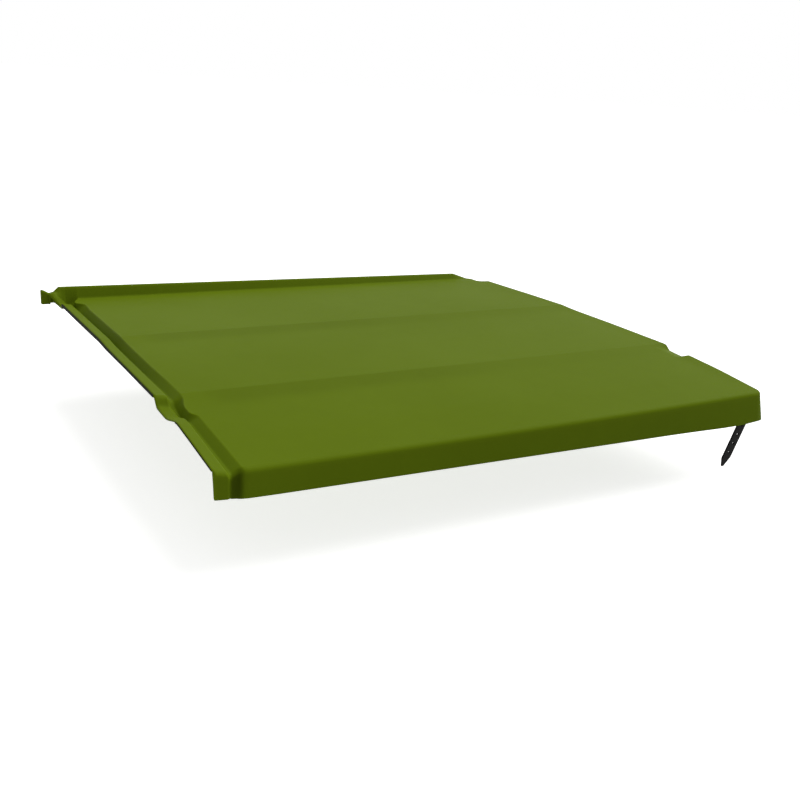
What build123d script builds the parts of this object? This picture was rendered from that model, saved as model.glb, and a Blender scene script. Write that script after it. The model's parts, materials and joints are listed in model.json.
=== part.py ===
"""Hard tonneau cover for a utility vehicle's cargo box, built as it comes apart on a bench.

A moulded sheet is stiffened by two cross bows. Its left edge hooks over the box's side wall,
and two rubber straps on the right pull it down.

Frame: millimetres, +X to the right, +Y to the back, +Z up. The origin is the middle of the cover
in plan, at the height of the box rim that its seals rest on. "From the front" is the distance
behind the outer face of the front skirt.
"""
from math import cos, radians, sin, sqrt
import os

from build123d import *

os.makedirs("parts", exist_ok=True)

# ---- moulded sheet: plan ----
cover_width = 1370.0
cover_length = 1210.0
sheet = 4.0
front_crease_at = 335.0
rear_crease_at = 755.0
upstand_foot_at = 1192.0

# ---- moulded sheet: heights above the seat ----
seal_thickness = 6.0
deck_front_height = -11.0
front_crease_height = 22.0
rear_crease_height = 32.0
deck_back_height = 27.5
skirt_drop = 69.0
skirt_rise_left = 19.5
tailgate_drop = 32.0

# ---- left edge: outer lip, rail, its drop, gutter floor and the wall up to the deck ----
rail_width = 23.5
rail_fall = 5.0
rail_drop_run = 5.0
gutter_floor = 8.0
gutter_wall_run = 19.0
lip_height = 8.0

# ---- pressed dips across both side edges, and the deck's slight fall to those edges ----
dip_depth = 14.0
dip_ramp = 18.0
dip_share_gutter = 0.6
dip_share_wall = 0.35
front_dip_length = 106.0
front_dip_end_at = 336.0
rear_dip_length = 56.0
edge_band = 42.0
edge_fall = 1.5

# ---- upstand along the back, with its wing past the left rail ----
upstand_left_top = 56.0
upstand_right_top = 42.5
upstand_end_top = 14.0
upstand_end_ramp = 101.0
upstand_face_run = 8.0
wing_reach = 39.0
wing_top = 52.0
wing_bottom = 17.0
wing_width = 18.0
notch_floor = 42.5
notch_width = 13.0
notch_ramp = 11.0
back_step_in = 60.0

# ---- flute down the front skirt, where the gutter runs out ----
flute_depth = 9.0
front_edge_radius = 5.0

# ---- cross bows ----
front_bow_at = 325.0
rear_bow_at = 770.0
bow_width = 30.0
bow_height = 20.0
bow_wall = 2.0
bow_end_inset = 120.0
pad_thickness = 3.0
socket_grip = 25.0
socket_end_wall = 6.0
socket_wall = 5.0
bow_fit = 0.1
bow_screw = 5.0
bow_screw_length = 12.0
bow_screw_head = 10.0
bow_screw_head_height = 3.5
screw_fit = 0.1

# ---- seals and edge trim ----
seal_width = 18.0
side_seal_inset = 57.0
end_seal_inset = 55.0
seal_gap = 4.0
trim_wall = 1.5
trim_fit = 0.1
front_trim_cover = 2.0
rear_trim_cover = 5.0
trim_inner_cover = 2.0
trim_floor = 1.0

# ---- straps and their hangers ----
strap_width = 30.0
strap_thickness = 4.0
strap_length = 163.0
strap_tip = 26.0
strap_tip_width = 6.0
strap_tilt = 16.0
strap_inset = 31.0
strap_hole = 6.5
strap_hole_pitch = 27.0
strap_hole_count = 4
first_hole_at = 38.0
pin_set_back = 14.0
pin_above_skirt = 18.0
pin_diameter = 8.0
pin_fit = 0.05
pin_head = 12.0
pin_head_height = 2.0
pin_tail = 4.0
eye_wall = 4.0
hanger_sheet = 2.5
hanger_side_gap = 1.0
hanger_length = 18.0
hanger_web_above_pin = 10.0
hanger_flange_length = 44.0
hanger_flange_drop = 22.0
clip_thickness = 1.0
clip_groove_depth = 1.0
clip_outer = 13.0
clip_mouth = 5.0
rivet = 4.8
rivet_fit = 0.05
rivet_head = 10.0
rivet_head_height = 1.6
rivet_tail = 7.5
rivet_tail_height = 2.0
rivet_spacing = 28.0

# ---- sizes that follow ----
half_width = cover_width / 2
gutter_height = seal_thickness + sheet
gutter_left_inset = rail_width + rail_drop_run
deck_left_inset = gutter_left_inset + gutter_floor + gutter_wall_run
front_skirt_bottom = deck_front_height - skirt_drop
back_skirt_bottom = deck_back_height - skirt_drop
wing_left = -half_width - wing_reach
notch_left = wing_left + wing_width
notch_right = notch_left + notch_width
front_dip_at = front_dip_end_at - front_dip_length
rear_dip_at = upstand_foot_at - rear_dip_length
strap_middle = half_width - strap_inset
skirt_inside = half_width - sheet
rivet_middle = hanger_flange_length / 2 - hanger_length / 2
spare = 10.0
overcut = 1.0
touch = 0.01

# each strap: distance of its pin from the front, the pin's height, and which way is inwards
strap_ends = {
    "front": (pin_set_back, front_skirt_bottom + pin_above_skirt, 1),
    "rear": (cover_length - pin_set_back, back_skirt_bottom + pin_above_skirt, -1),
}


def y_at(distance):
    """Y of a place given by its distance from the front."""
    return distance - cover_length / 2


def along(distance, line):
    """Height of a line of straight runs, given as (distance, height) corners."""
    for (start, low), (end, high) in zip(line, line[1:]):
        if distance <= end:
            return low + (high - low) * (distance - start) / (end - start)
    return line[-1][1]


deck_line = [
    (0.0, deck_front_height),
    (front_crease_at, front_crease_height),
    (rear_crease_at, rear_crease_height),
    (upstand_foot_at, deck_back_height),
    (cover_length, deck_back_height),
]
drop_line = [(0.0, tailgate_drop), (front_crease_at, 0.0), (cover_length, 0.0)]
dip_line = [
    (0.0, 0.0),
    (front_dip_at, 0.0),
    (front_dip_at + dip_ramp, dip_depth),
    (front_dip_end_at - dip_ramp, dip_depth),
    (front_dip_end_at, 0.0),
    (rear_dip_at, 0.0),
    (rear_dip_at + dip_ramp, dip_depth),
    (cover_length, dip_depth),
]
stations = sorted({distance for line in (deck_line, drop_line, dip_line) for distance, _ in line})


def deck(distance):
    """Height of the deck's top face."""
    return along(distance, deck_line)


def under_deck(distance):
    """Height of the deck's underside."""
    return deck(distance) - sheet


def seat(distance):
    """Height of the box rim, which slopes down to the tailgate in front of the first crease."""
    return -along(distance, drop_line)


def surface_points(distance, bottom):
    """The sheet's outer line across the cover, from the left lip to the right skirt."""
    dip = along(distance, dip_line)
    deck_here = deck(distance)
    gutter_here = gutter_height + seat(distance) - dip * dip_share_gutter
    gutter_left = -half_width + gutter_left_inset
    deck_left = -half_width + deck_left_inset
    return [
        (-half_width, bottom),
        (-half_width, deck_here - dip),
        (-half_width + rail_width, deck_here - rail_fall - dip),
        (gutter_left, gutter_here),
        (gutter_left + gutter_floor, gutter_here),
        (deck_left, deck_here - edge_fall - dip * dip_share_wall),
        (deck_left + edge_band, deck_here),
        (half_width - edge_band, deck_here),
        (half_width, deck_here - edge_fall - dip),
        (half_width, bottom),
    ]


def drawn_in(points, distance):
    """The same open line moved to its right-hand side by a distance, with mitred corners."""
    normals = []
    for (x0, z0), (x1, z1) in zip(points, points[1:]):
        length = sqrt((x1 - x0) ** 2 + (z1 - z0) ** 2)
        normals.append(((z1 - z0) / length, (x0 - x1) / length))
    moved = []
    for index, (x, z) in enumerate(points):
        before = normals[max(index - 1, 0)]
        after = normals[min(index, len(normals) - 1)]
        scale = distance / (1 + before[0] * after[0] + before[1] * after[1])
        moved.append((x + (before[0] + after[0]) * scale, z + (before[1] + after[1]) * scale))
    return moved


def edge_block(profile, left, right):
    """A block with a (distance from the front, height) profile, between two places across."""
    with BuildPart() as block:
        with BuildSketch(Plane.YZ.offset(left)):
            with BuildLine():
                Polyline(*[(y_at(distance), height) for distance, height in profile], close=True)
            make_face()
        extrude(amount=right - left)
    return block.part


def cover_form(inset, bottom):
    """Everything under the deck, rails and skirts, with the outer surface drawn in by inset."""
    start = inset
    end = cover_length - inset
    places = [start] + [place for place in stations if start < place < end] + [end]
    with BuildPart() as form:
        for place in places:
            with BuildSketch(Plane.XZ.offset(-y_at(place))):
                with BuildLine():
                    Polyline(*drawn_in(surface_points(place, bottom), inset), close=True)
                make_face()
        loft(ruled=True)
    return form.part


def upstand_form(inset, bottom):
    """The upstand's block, its wing and its sloping front face, drawn in by inset."""
    outline = [
        (wing_left, bottom),
        (wing_left, wing_top),
        (notch_left, notch_floor),
        (notch_right, notch_floor),
        (notch_right + notch_ramp, upstand_left_top),
        (half_width - upstand_end_ramp, upstand_right_top),
        (half_width, upstand_end_top),
        (half_width, bottom),
    ]
    foot = upstand_foot_at + inset
    brow = foot + upstand_face_run
    above = upstand_left_top + spare
    face = [
        (foot, deck_back_height),
        (brow, upstand_left_top),
        (brow, above),
        (foot - spare, above),
        (foot - spare, deck_back_height),
    ]
    with BuildPart() as form:
        with BuildSketch(Plane.XZ.offset(-y_at(foot))):
            with BuildLine():
                Polyline(*drawn_in(outline, inset), close=True)
            make_face()
        extrude(amount=-(cover_length - inset - foot))
        add(edge_block(face, wing_left - spare, half_width + spare), mode=Mode.SUBTRACT)
    return form.part


def flute_form(inset, bottom):
    """The upright groove in the front skirt below the gutter's end, its wall drawn in by inset."""
    left = -half_width + rail_width
    right = -half_width + deck_left_inset
    floor_left = left + gutter_floor
    floor_right = floor_left + gutter_floor
    groove = [(left, 0.0), (floor_left, flute_depth), (floor_right, flute_depth), (right, 0.0)]
    wall = [(x, -depth) for x, depth in drawn_in([(x, -depth) for x, depth in groove], inset)]
    with BuildPart() as form:
        with BuildSketch(Plane.XY.offset(bottom)):
            with BuildLine():
                Polyline(
                    (wall[0][0], y_at(-spare)),
                    *[(x, y_at(depth)) for x, depth in wall],
                    (wall[-1][0], y_at(-spare)),
                    close=True,
                )
            make_face()
        extrude(amount=upstand_left_top - bottom)
    return form.part


def rivet_places(end):
    """The two rivets of a hanger, as (y, z) on the right skirt."""
    pin_at, pin_height, inward = strap_ends[end]
    height = pin_height + hanger_web_above_pin - hanger_flange_drop / 2
    middle = y_at(pin_at) + inward * rivet_middle
    return [(middle - rivet_spacing / 2, height), (middle + rivet_spacing / 2, height)]


# ---- the moulded sheet ----
outer_body = cover_form(0.0, front_skirt_bottom)
inner_body = cover_form(sheet, front_skirt_bottom - spare)
outer_upstand = upstand_form(0.0, front_skirt_bottom)
inner_upstand = upstand_form(sheet, front_skirt_bottom - spare)
outer_flute = flute_form(0.0, front_skirt_bottom - spare)
inner_flute = flute_form(sheet, front_skirt_bottom - 2 * spare)


def below(line_height):
    """Profile of what is cut away behind the front skirt, below a line of heights."""
    places = [sheet] + [place for place in stations if sheet < place < cover_length]
    places.append(cover_length + spare)
    floor = front_skirt_bottom - spare
    top = [(place, line_height(place)) for place in places]
    return top + [(cover_length + spare, floor), (sheet, floor)]


def lip_bottom(distance):
    """Height of the left lip's lower edge."""
    return deck(distance) - along(distance, dip_line) - lip_height


def skirt_bottom(distance):
    """Height of the right skirt's lower edge."""
    return deck(distance) - skirt_drop


lip_cut = edge_block(below(lip_bottom), -half_width - spare, -half_width + sheet + overcut)
skirt_cut = edge_block(below(skirt_bottom), skirt_inside - overcut, half_width + spare)
wing_cut = edge_block(
    [
        (upstand_foot_at - spare, wing_bottom),
        (cover_length + spare, wing_bottom),
        (cover_length + spare, front_skirt_bottom - spare),
        (upstand_foot_at - spare, front_skirt_bottom - spare),
    ],
    wing_left - spare,
    -half_width,
)
lip_end = lip_bottom(cover_length)
skirt_slope = skirt_rise_left / cover_width

with BuildPart() as hollow:
    add(inner_body)
    add(inner_upstand)
    add(inner_flute, mode=Mode.SUBTRACT)

with BuildPart() as cover_shell:
    add(outer_body)
    add(outer_upstand)
    add(outer_flute, mode=Mode.SUBTRACT)
    add(hollow.part, mode=Mode.SUBTRACT)
    add(lip_cut, mode=Mode.SUBTRACT)
    add(skirt_cut, mode=Mode.SUBTRACT)
    add(wing_cut, mode=Mode.SUBTRACT)
    with BuildSketch(Plane.XZ.offset(-y_at(cover_length + overcut))):
        with BuildLine():
            Polyline(
                (-half_width - spare, lip_end),
                (-half_width + back_step_in, lip_end),
                (-half_width + back_step_in + lip_end - back_skirt_bottom, back_skirt_bottom),
                (half_width + spare, back_skirt_bottom),
                (half_width + spare, front_skirt_bottom - spare),
                (-half_width - spare, front_skirt_bottom - spare),
                close=True,
            )
        make_face()
    extrude(amount=sheet + 2 * overcut, mode=Mode.SUBTRACT)
    with BuildSketch(Plane.XZ.offset(-y_at(-overcut))):
        with BuildLine():
            Polyline(
                (-half_width - spare, front_skirt_bottom + skirt_rise_left + spare * skirt_slope),
                (half_width, front_skirt_bottom),
                (half_width, front_skirt_bottom - spare),
                (-half_width - spare, front_skirt_bottom - spare),
                close=True,
            )
        make_face()
    extrude(amount=-(flute_depth + sheet + 2 * overcut), mode=Mode.SUBTRACT)
    with BuildSketch(Plane.YZ.offset(skirt_inside - overcut)):
        with Locations(*rivet_places("front"), *rivet_places("rear")):
            Circle(rivet / 2 + rivet_fit)
    extrude(amount=sheet + 2 * overcut, mode=Mode.SUBTRACT)
    front_face = y_at(0)
    front_edges = cover_shell.edges().filter_by_position(Axis.Y, front_face - touch, front_face + touch)
    deck_low = deck_front_height - edge_fall - touch
    fillet(
        front_edges.filter_by_position(Axis.Z, deck_low, deck_front_height + touch),
        front_edge_radius,
    )

# ---- cross bows under the creases, with their tape pads, end sockets and screws ----
bow_left = -half_width + bow_end_inset
bow_right = half_width - bow_end_inset
socket_length = socket_grip + socket_end_wall
socket_half = bow_width / 2 + bow_fit + socket_wall
screw_hole_radius = bow_screw / 2 + screw_fit
screw_places = [bow_left + socket_grip / 2, bow_right - socket_grip / 2]
bows = {"front": front_bow_at, "rear": rear_bow_at}
pieces = {"cover_shell": cover_shell.part}
screws = []


def deck_pad(middle, reach, floor):
    """Profile that fills from a level floor up to the deck's underside, over any crease."""
    start, end = middle - reach, middle + reach
    places = [start] + [place for place, _ in deck_line if start < place < end] + [end]
    return [(start, floor)] + [(place, under_deck(place)) for place in places] + [(end, floor)]


for end, middle in bows.items():
    lowest = min(under_deck(middle - bow_width / 2), under_deck(middle + bow_width / 2))
    bow_top = lowest - pad_thickness
    bow_floor = bow_top - bow_height
    socket_floor = bow_floor - bow_fit - socket_wall

    with BuildPart() as bow:
        with BuildSketch(Plane.YZ.offset(bow_left)):
            with Locations((y_at(middle), bow_top - bow_height / 2)):
                RectangleRounded(bow_width, bow_height, bow_wall)
                Rectangle(bow_width - 2 * bow_wall, bow_height - 2 * bow_wall, mode=Mode.SUBTRACT)
        extrude(amount=bow_right - bow_left)
        with BuildSketch(Plane.XY.offset(bow_floor)):
            with Locations(*[(place, y_at(middle)) for place in screw_places]):
                Circle(screw_hole_radius)
        extrude(amount=bow_wall, mode=Mode.SUBTRACT)
    pieces[f"{end}_bow"] = bow.part

    pieces[f"{end}_bow_pad"] = edge_block(
        deck_pad(middle, bow_width / 2, bow_top), bow_left + socket_grip, bow_right - socket_grip
    )

    sides = {
        "left": (bow_left - socket_end_wall, bow_left, screw_places[0]),
        "right": (bow_right - socket_grip, bow_right - socket_grip, screw_places[1]),
    }
    for side, (socket_left, pocket_left, screw_place) in sides.items():
        body = edge_block(
            deck_pad(middle, socket_half, socket_floor), socket_left, socket_left + socket_length
        )
        with BuildPart() as socket:
            add(body)
            with BuildSketch(Plane.YZ.offset(pocket_left)):
                with Locations((y_at(middle), bow_top - bow_height / 2)):
                    Rectangle(bow_width + 2 * bow_fit, bow_height + 2 * bow_fit)
            extrude(amount=socket_grip, mode=Mode.SUBTRACT)
            with BuildSketch(Plane.XY.offset(socket_floor - overcut)):
                with Locations((screw_place, y_at(middle))):
                    Circle(screw_hole_radius)
            extrude(amount=socket_wall + bow_fit + 2 * overcut, mode=Mode.SUBTRACT)
        pieces[f"{end}_bow_{side}_socket"] = socket.part

        with BuildPart() as screw:
            with BuildSketch(Plane.XY.offset(socket_floor)):
                with Locations((screw_place, y_at(middle))):
                    Circle(bow_screw / 2)
            extrude(amount=bow_screw_length)
            with BuildSketch(Plane.XY.offset(socket_floor - bow_screw_head_height)):
                with Locations((screw_place, y_at(middle))):
                    Circle(bow_screw_head / 2)
            extrude(amount=bow_screw_head_height)
        screws.append(screw.part)
pieces["bow_screws"] = Compound(children=screws)

# ---- seals that rest on the box rim, and the trim on the left lip ----
seal_right_edge = half_width - side_seal_inset
seal_left_edge = seal_right_edge - seal_width
rear_seal_back = rear_dip_at - seal_gap


def seal_profile(start, end, top):
    """Profile of a seal between the box rim and what it fills up to."""
    places = [start] + [place for place in stations if start < place < end] + [end]
    above = [(place, top(place)) for place in places]
    return above + [(place, seat(place)) for place in reversed(places)]


def gutter_under(distance):
    """Height of the underside of the gutter's floor."""
    return seat(distance) + seal_thickness


left_runs = {
    "front": (flute_depth + sheet + seal_gap, front_dip_at - seal_gap),
    "rear": (front_dip_end_at + seal_gap, rear_dip_at - seal_gap),
}
gutter_left = -half_width + gutter_left_inset
for end, (start, stop) in left_runs.items():
    pieces[f"left_{end}_seal"] = edge_block(
        seal_profile(start, stop, gutter_under), gutter_left, gutter_left + gutter_floor
    )
pieces["right_seal"] = edge_block(
    seal_profile(end_seal_inset, rear_seal_back, under_deck), seal_left_edge, seal_right_edge
)
cross_seal_left = -half_width + deck_left_inset + edge_band
cross_seals = {
    "front_seal": (end_seal_inset, end_seal_inset + seal_width),
    "rear_seal": (rear_seal_back - seal_width, rear_seal_back),
}
for name, (start, stop) in cross_seals.items():
    pieces[name] = edge_block(
        seal_profile(start, stop, under_deck), cross_seal_left, seal_left_edge
    )

trim_runs = {
    "front": (sheet + trim_fit, front_dip_at, front_trim_cover),
    "rear": (front_dip_end_at, rear_dip_at, rear_trim_cover),
}


def lip_band(start, end, low, high):
    """Profile between two distances below and above the lip's lower edge."""
    places = [start] + [place for place in stations if start < place < end] + [end]
    upper = [(place, lip_bottom(place) + high) for place in reversed(places)]
    return [(place, lip_bottom(place) + low) for place in places] + upper


trim_reach = trim_fit + trim_wall
for end, (start, stop, cover) in trim_runs.items():
    body = edge_block(
        lip_band(start, stop, -trim_floor, cover), -half_width - trim_reach, -half_width + sheet + trim_reach
    )
    slot = edge_block(
        lip_band(start, stop, 0.0, cover + overcut), -half_width - trim_fit, -half_width + sheet + trim_fit
    )
    with BuildPart() as trim:
        add(body)
        add(slot, mode=Mode.SUBTRACT)
        if cover > trim_inner_cover:
            above_inner_leg = lip_band(start, stop, trim_inner_cover, cover + overcut)
            add(edge_block(above_inner_leg, -half_width + sheet / 2, -half_width + spare), mode=Mode.SUBTRACT)
    pieces[f"left_{end}_trim"] = trim.part

# ---- straps, hangers, pins, clips and rivets ----
eye_radius = pin_diameter / 2 + pin_fit + eye_wall
ear_gap = strap_width / 2 + hanger_side_gap
left_ear = strap_middle - ear_gap - hanger_sheet
right_ear = strap_middle + ear_gap
clip_right = left_ear - pin_fit
clip_left = clip_right - clip_thickness

for end, (pin_at, pin_height, inward) in strap_ends.items():
    pin_y = y_at(pin_at)
    web_height = pin_height + hanger_web_above_pin
    tilt = radians(strap_tilt)
    strap_plane = Plane(
        origin=(strap_middle, pin_y, pin_height),
        x_dir=(1, 0, 0),
        z_dir=(0, cos(tilt), inward * sin(tilt)),
    )
    shoulder = strap_length - strap_tip

    with BuildPart() as strap:
        with BuildSketch(strap_plane):
            with BuildLine():
                Polyline(
                    (-strap_width / 2, 0),
                    (-strap_width / 2, shoulder),
                    (-strap_tip_width / 2, strap_length),
                    (strap_tip_width / 2, strap_length),
                    (strap_width / 2, shoulder),
                    (strap_width / 2, 0),
                    close=True,
                )
            make_face()
            for index in range(strap_hole_count):
                with Locations((0, first_hole_at + index * strap_hole_pitch)):
                    Circle(strap_hole / 2, mode=Mode.SUBTRACT)
        extrude(amount=strap_thickness / 2, both=True)
        with BuildSketch(Plane.YZ.offset(strap_middle - strap_width / 2)):
            with Locations((pin_y, pin_height)):
                Circle(eye_radius)
        extrude(amount=strap_width)
        with BuildSketch(Plane.YZ.offset(strap_middle - strap_width / 2)):
            with Locations((pin_y, pin_height)):
                Circle(pin_diameter / 2 + pin_fit)
        extrude(amount=strap_width, mode=Mode.SUBTRACT)
    pieces[f"{end}_strap"] = strap.part

    with BuildPart() as hanger:
        with BuildSketch(Plane.XY.offset(web_height)):
            with Locations(((left_ear + skirt_inside) / 2, pin_y)):
                Rectangle(skirt_inside - left_ear, hanger_length)
        extrude(amount=hanger_sheet)
        with BuildSketch(Plane.YZ.offset(skirt_inside - hanger_sheet)):
            with Locations((pin_y + inward * rivet_middle, web_height - hanger_flange_drop / 2)):
                Rectangle(hanger_flange_length, hanger_flange_drop + 2 * hanger_sheet)
            with Locations(*rivet_places(end)):
                Circle(rivet / 2 + rivet_fit, mode=Mode.SUBTRACT)
        extrude(amount=hanger_sheet)
        for ear in (left_ear, right_ear):
            with BuildSketch(Plane.YZ.offset(ear)):
                with Locations((pin_y, pin_height)):
                    Circle(eye_radius)
                with Locations((pin_y, pin_height + hanger_web_above_pin / 2)):
                    Rectangle(2 * eye_radius, hanger_web_above_pin)
                with Locations((pin_y, pin_height)):
                    Circle(pin_diameter / 2 + pin_fit, mode=Mode.SUBTRACT)
            extrude(amount=hanger_sheet)
    pieces[f"{end}_strap_hanger"] = hanger.part

    with BuildPart() as pin:
        with BuildSketch(Plane.YZ.offset(left_ear - pin_tail)):
            with Locations((pin_y, pin_height)):
                Circle(pin_diameter / 2)
        extrude(amount=right_ear + hanger_sheet - left_ear + pin_tail)
        with BuildSketch(Plane.YZ.offset(right_ear + hanger_sheet)):
            with Locations((pin_y, pin_height)):
                Circle(pin_head / 2)
        extrude(amount=pin_head_height)
        with BuildSketch(Plane.YZ.offset(clip_left - pin_fit)):
            with Locations((pin_y, pin_height)):
                Circle(pin_diameter / 2 + overcut)
                Circle(pin_diameter / 2 - clip_groove_depth, mode=Mode.SUBTRACT)
        extrude(amount=clip_thickness + 2 * pin_fit, mode=Mode.SUBTRACT)
    pieces[f"{end}_strap_pin"] = pin.part

    with BuildPart() as clip:
        with BuildSketch(Plane.YZ.offset(clip_left)):
            with Locations((pin_y, pin_height)):
                Circle(clip_outer / 2)
                Circle(pin_diameter / 2 - clip_groove_depth + pin_fit, mode=Mode.SUBTRACT)
            with Locations((pin_y, pin_height - clip_outer / 2)):
                Rectangle(clip_mouth, clip_outer, mode=Mode.SUBTRACT)
        extrude(amount=clip_thickness)
    pieces[f"{end}_pin_clip"] = clip.part

    rivets = []
    for rivet_y, rivet_height in rivet_places(end):
        with BuildPart() as blind_rivet:
            with BuildSketch(Plane.YZ.offset(skirt_inside - hanger_sheet)):
                with Locations((rivet_y, rivet_height)):
                    Circle(rivet / 2)
            extrude(amount=sheet + hanger_sheet)
            with BuildSketch(Plane.YZ.offset(half_width)):
                with Locations((rivet_y, rivet_height)):
                    Circle(rivet_head / 2)
            extrude(amount=rivet_head_height)
            with BuildSketch(Plane.YZ.offset(skirt_inside - hanger_sheet - rivet_tail_height)):
                with Locations((rivet_y, rivet_height)):
                    Circle(rivet_tail / 2)
            extrude(amount=rivet_tail_height)
        rivets.append(blind_rivet.part)
    pieces[f"{end}_hanger_rivets"] = Compound(children=rivets)

for name, piece in pieces.items():
    piece.label = name
    export_step(piece, f"parts/{name}.step")
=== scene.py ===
"""Looks of a hard tonneau cover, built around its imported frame.

The cover is a moulded sheet with a gutter and raised rail on its left, an upstand along its back
and a deep front skirt. Two rubber straps hang below its right side. Fields and plan distances
below are millimetres: x runs to the right from the middle, s runs back from the front edge and z
runs up from the seat of the seals. Every mesh is stored in metres.
"""
from __future__ import annotations

import json
import logging
from dataclasses import dataclass
from enum import Enum, IntEnum
from typing import Any, Iterator, Mapping, Sequence, Union

import bmesh
import bpy
import numpy as np
from mathutils import Matrix, Vector

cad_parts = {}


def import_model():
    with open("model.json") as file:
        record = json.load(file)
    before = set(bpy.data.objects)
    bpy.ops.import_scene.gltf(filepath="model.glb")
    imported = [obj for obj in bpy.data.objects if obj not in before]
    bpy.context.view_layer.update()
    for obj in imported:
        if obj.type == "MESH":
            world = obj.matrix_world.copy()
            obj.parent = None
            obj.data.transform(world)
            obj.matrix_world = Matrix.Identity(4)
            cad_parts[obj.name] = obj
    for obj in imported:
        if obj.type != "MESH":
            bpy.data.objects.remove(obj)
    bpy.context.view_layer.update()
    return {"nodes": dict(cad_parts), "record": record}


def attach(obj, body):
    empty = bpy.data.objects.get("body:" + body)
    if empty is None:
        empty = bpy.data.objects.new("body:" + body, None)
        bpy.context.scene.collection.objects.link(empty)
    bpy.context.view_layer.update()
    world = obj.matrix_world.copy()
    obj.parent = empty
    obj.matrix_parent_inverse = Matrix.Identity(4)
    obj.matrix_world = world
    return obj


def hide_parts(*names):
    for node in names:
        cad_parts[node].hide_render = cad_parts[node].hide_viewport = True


MM = 0.001
LENGTH = 1210.0
HALF_WIDTH = 685.0
SHEET = 4.0
HAIR = 1e-6
CRISP_ANGLE = 40.0

Numbers = tuple[float, ...]
Span = tuple[float, float]

log = logging.getLogger("cover")


class Slot(Enum):
    """Material slots of the record that the pieces take their finish from."""

    GREEN_PLASTIC = "green_plastic"
    BLACK_NYLON = "black_nylon"
    TUBE_ALUMINIUM = "tube_aluminium"
    RIVET_ALUMINIUM = "rivet_aluminium"
    ZINC_STEEL = "zinc_steel"
    SEAL_RUBBER = "seal_rubber"
    FOAM_TAPE = "foam_tape"
    STRAP_RUBBER = "strap_rubber"


class Body(Enum):
    """Bodies of the frame that pieces ride on."""

    COVER = "cover"
    FRONT_STRAP = "front_strap"
    REAR_STRAP = "rear_strap"


# ---- curves and grids ----


def hinge(distance: np.ndarray, half_width: float) -> np.ndarray:
    """One rounded corner of a line.

    It is 0 before -b, the distance itself after b, and (distance + b) squared / 4b between,
    where b is the half width, so value and slope are continuous.

    Args:
        distance: signed distances past the corner.
        half_width: half the length of the rounded stretch.

    Returns:
        The corner's share of the line at each distance.
    """
    reach = max(half_width, HAIR)
    curved = (distance + reach) ** 2 / (4 * reach)
    return np.where(distance < -reach, 0.0, np.where(distance > reach, distance, curved))


def rounded_line(
    at: np.ndarray, knots: Sequence[Any], values: Sequence[Any], rounding: Sequence[float]
) -> np.ndarray:
    """Straight runs through knots, with each inner corner rounded.

    The first run is extended both ways, and each inner knot adds its change of slope times a
    hinge: value = v0 + m0 (t - k0) + sum of (m_i - m_(i-1)) hinge(t - k_i).

    Args:
        at: places to evaluate.
        knots: positions of the corners, numbers or arrays that broadcast with the places.
        values: values at the corners, numbers or arrays likewise.
        rounding: half widths of the inner corners, in order.

    Returns:
        The line's value at each place.
    """
    slopes = [
        (high - low) / (end - start)
        for start, end, low, high in zip(knots, knots[1:], values, values[1:])
    ]
    line = values[0] + slopes[0] * (at - knots[0])
    for corner, before, after, reach in zip(knots[1:-1], slopes, slopes[1:], rounding):
        line = line + (after - before) * hinge(at - corner, reach)
    return line


def ease(at: np.ndarray, start: float, end: float) -> np.ndarray:
    """Smooth step from 0 at start to 1 at end: 3t squared - 2t cubed of the clamped share."""
    share = np.clip((at - start) / (end - start), 0.0, 1.0)
    return share * share * (3 - 2 * share)


def spaced(places: Sequence[float], steps: Sequence[float]) -> np.ndarray:
    """Grid lines from place to place, evenly spaced within each run.

    Args:
        places: ends of the runs, in order.
        steps: greatest distance between the lines of each run.

    Returns:
        The lines' places, without repeats.
    """
    parts = [
        np.linspace(start, end, int(np.ceil((end - start) / step)) + 1)
        for start, end, step in zip(places, places[1:], steps)
    ]
    return np.unique(np.round(np.concatenate(parts), 6))


def weave_faces(rows: int, columns: int, closed: bool = False) -> np.ndarray:
    """Quads between neighbouring lines of a grid whose points are numbered row by row.

    Args:
        rows: number of grid rows.
        columns: number of points in a row.
        closed: whether the last point of a row joins its first.

    Returns:
        An array of quads, wound row, next row, next row's next point, row's next point.
    """
    width = columns if closed else columns - 1
    row, column = np.mgrid[0 : rows - 1, 0:width]
    after = (column + 1) % columns
    here, below = row * columns, (row + 1) * columns
    quads = np.stack([here + column, below + column, below + after, here + after], -1)
    return quads.reshape(-1, 4)


def round_outline(corners: np.ndarray, radius: float, steps: int = 3) -> np.ndarray:
    """Round the corners of a closed outline with parabolic arcs.

    Each corner C becomes (1-t)^2 A + 2t(1-t) C + t^2 B, where A and B lie one radius away from
    it on its two sides.

    Args:
        corners: (n, 2) corners in order.
        radius: distance from a corner at which its arc starts.
        steps: points to an arc.

    Returns:
        An (n * steps, 2) array.
    """
    share = np.linspace(0.0, 1.0, steps)[None, :, None]
    ways = [np.roll(corners, shift, axis=0) - corners for shift in (1, -1)]
    first, last = (
        (corners + way * radius / np.linalg.norm(way, axis=1, keepdims=True))[:, None]
        for way in ways
    )
    arcs = (1 - share) ** 2 * first + 2 * share * (1 - share) * corners[:, None] + share**2 * last
    return arcs.reshape(-1, 2)


def weld(patches: Sequence[tuple[np.ndarray, np.ndarray]]) -> tuple[np.ndarray, np.ndarray]:
    """Join patches, with points that meet made one.

    Args:
        patches: points and quads of each patch, its quads numbered from its own first point.

    Returns:
        The points that are left, and all quads on their numbers.
    """
    starts = np.cumsum([0] + [len(points) for points, _ in patches])
    points = np.concatenate([points for points, _ in patches])
    quads = np.concatenate([quads + start for (_, quads), start in zip(patches, starts)])
    rounded = np.round(points, 3)
    _, first, number = np.unique(rounded, axis=0, return_index=True, return_inverse=True)
    return points[first], number.reshape(-1)[quads]


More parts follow.
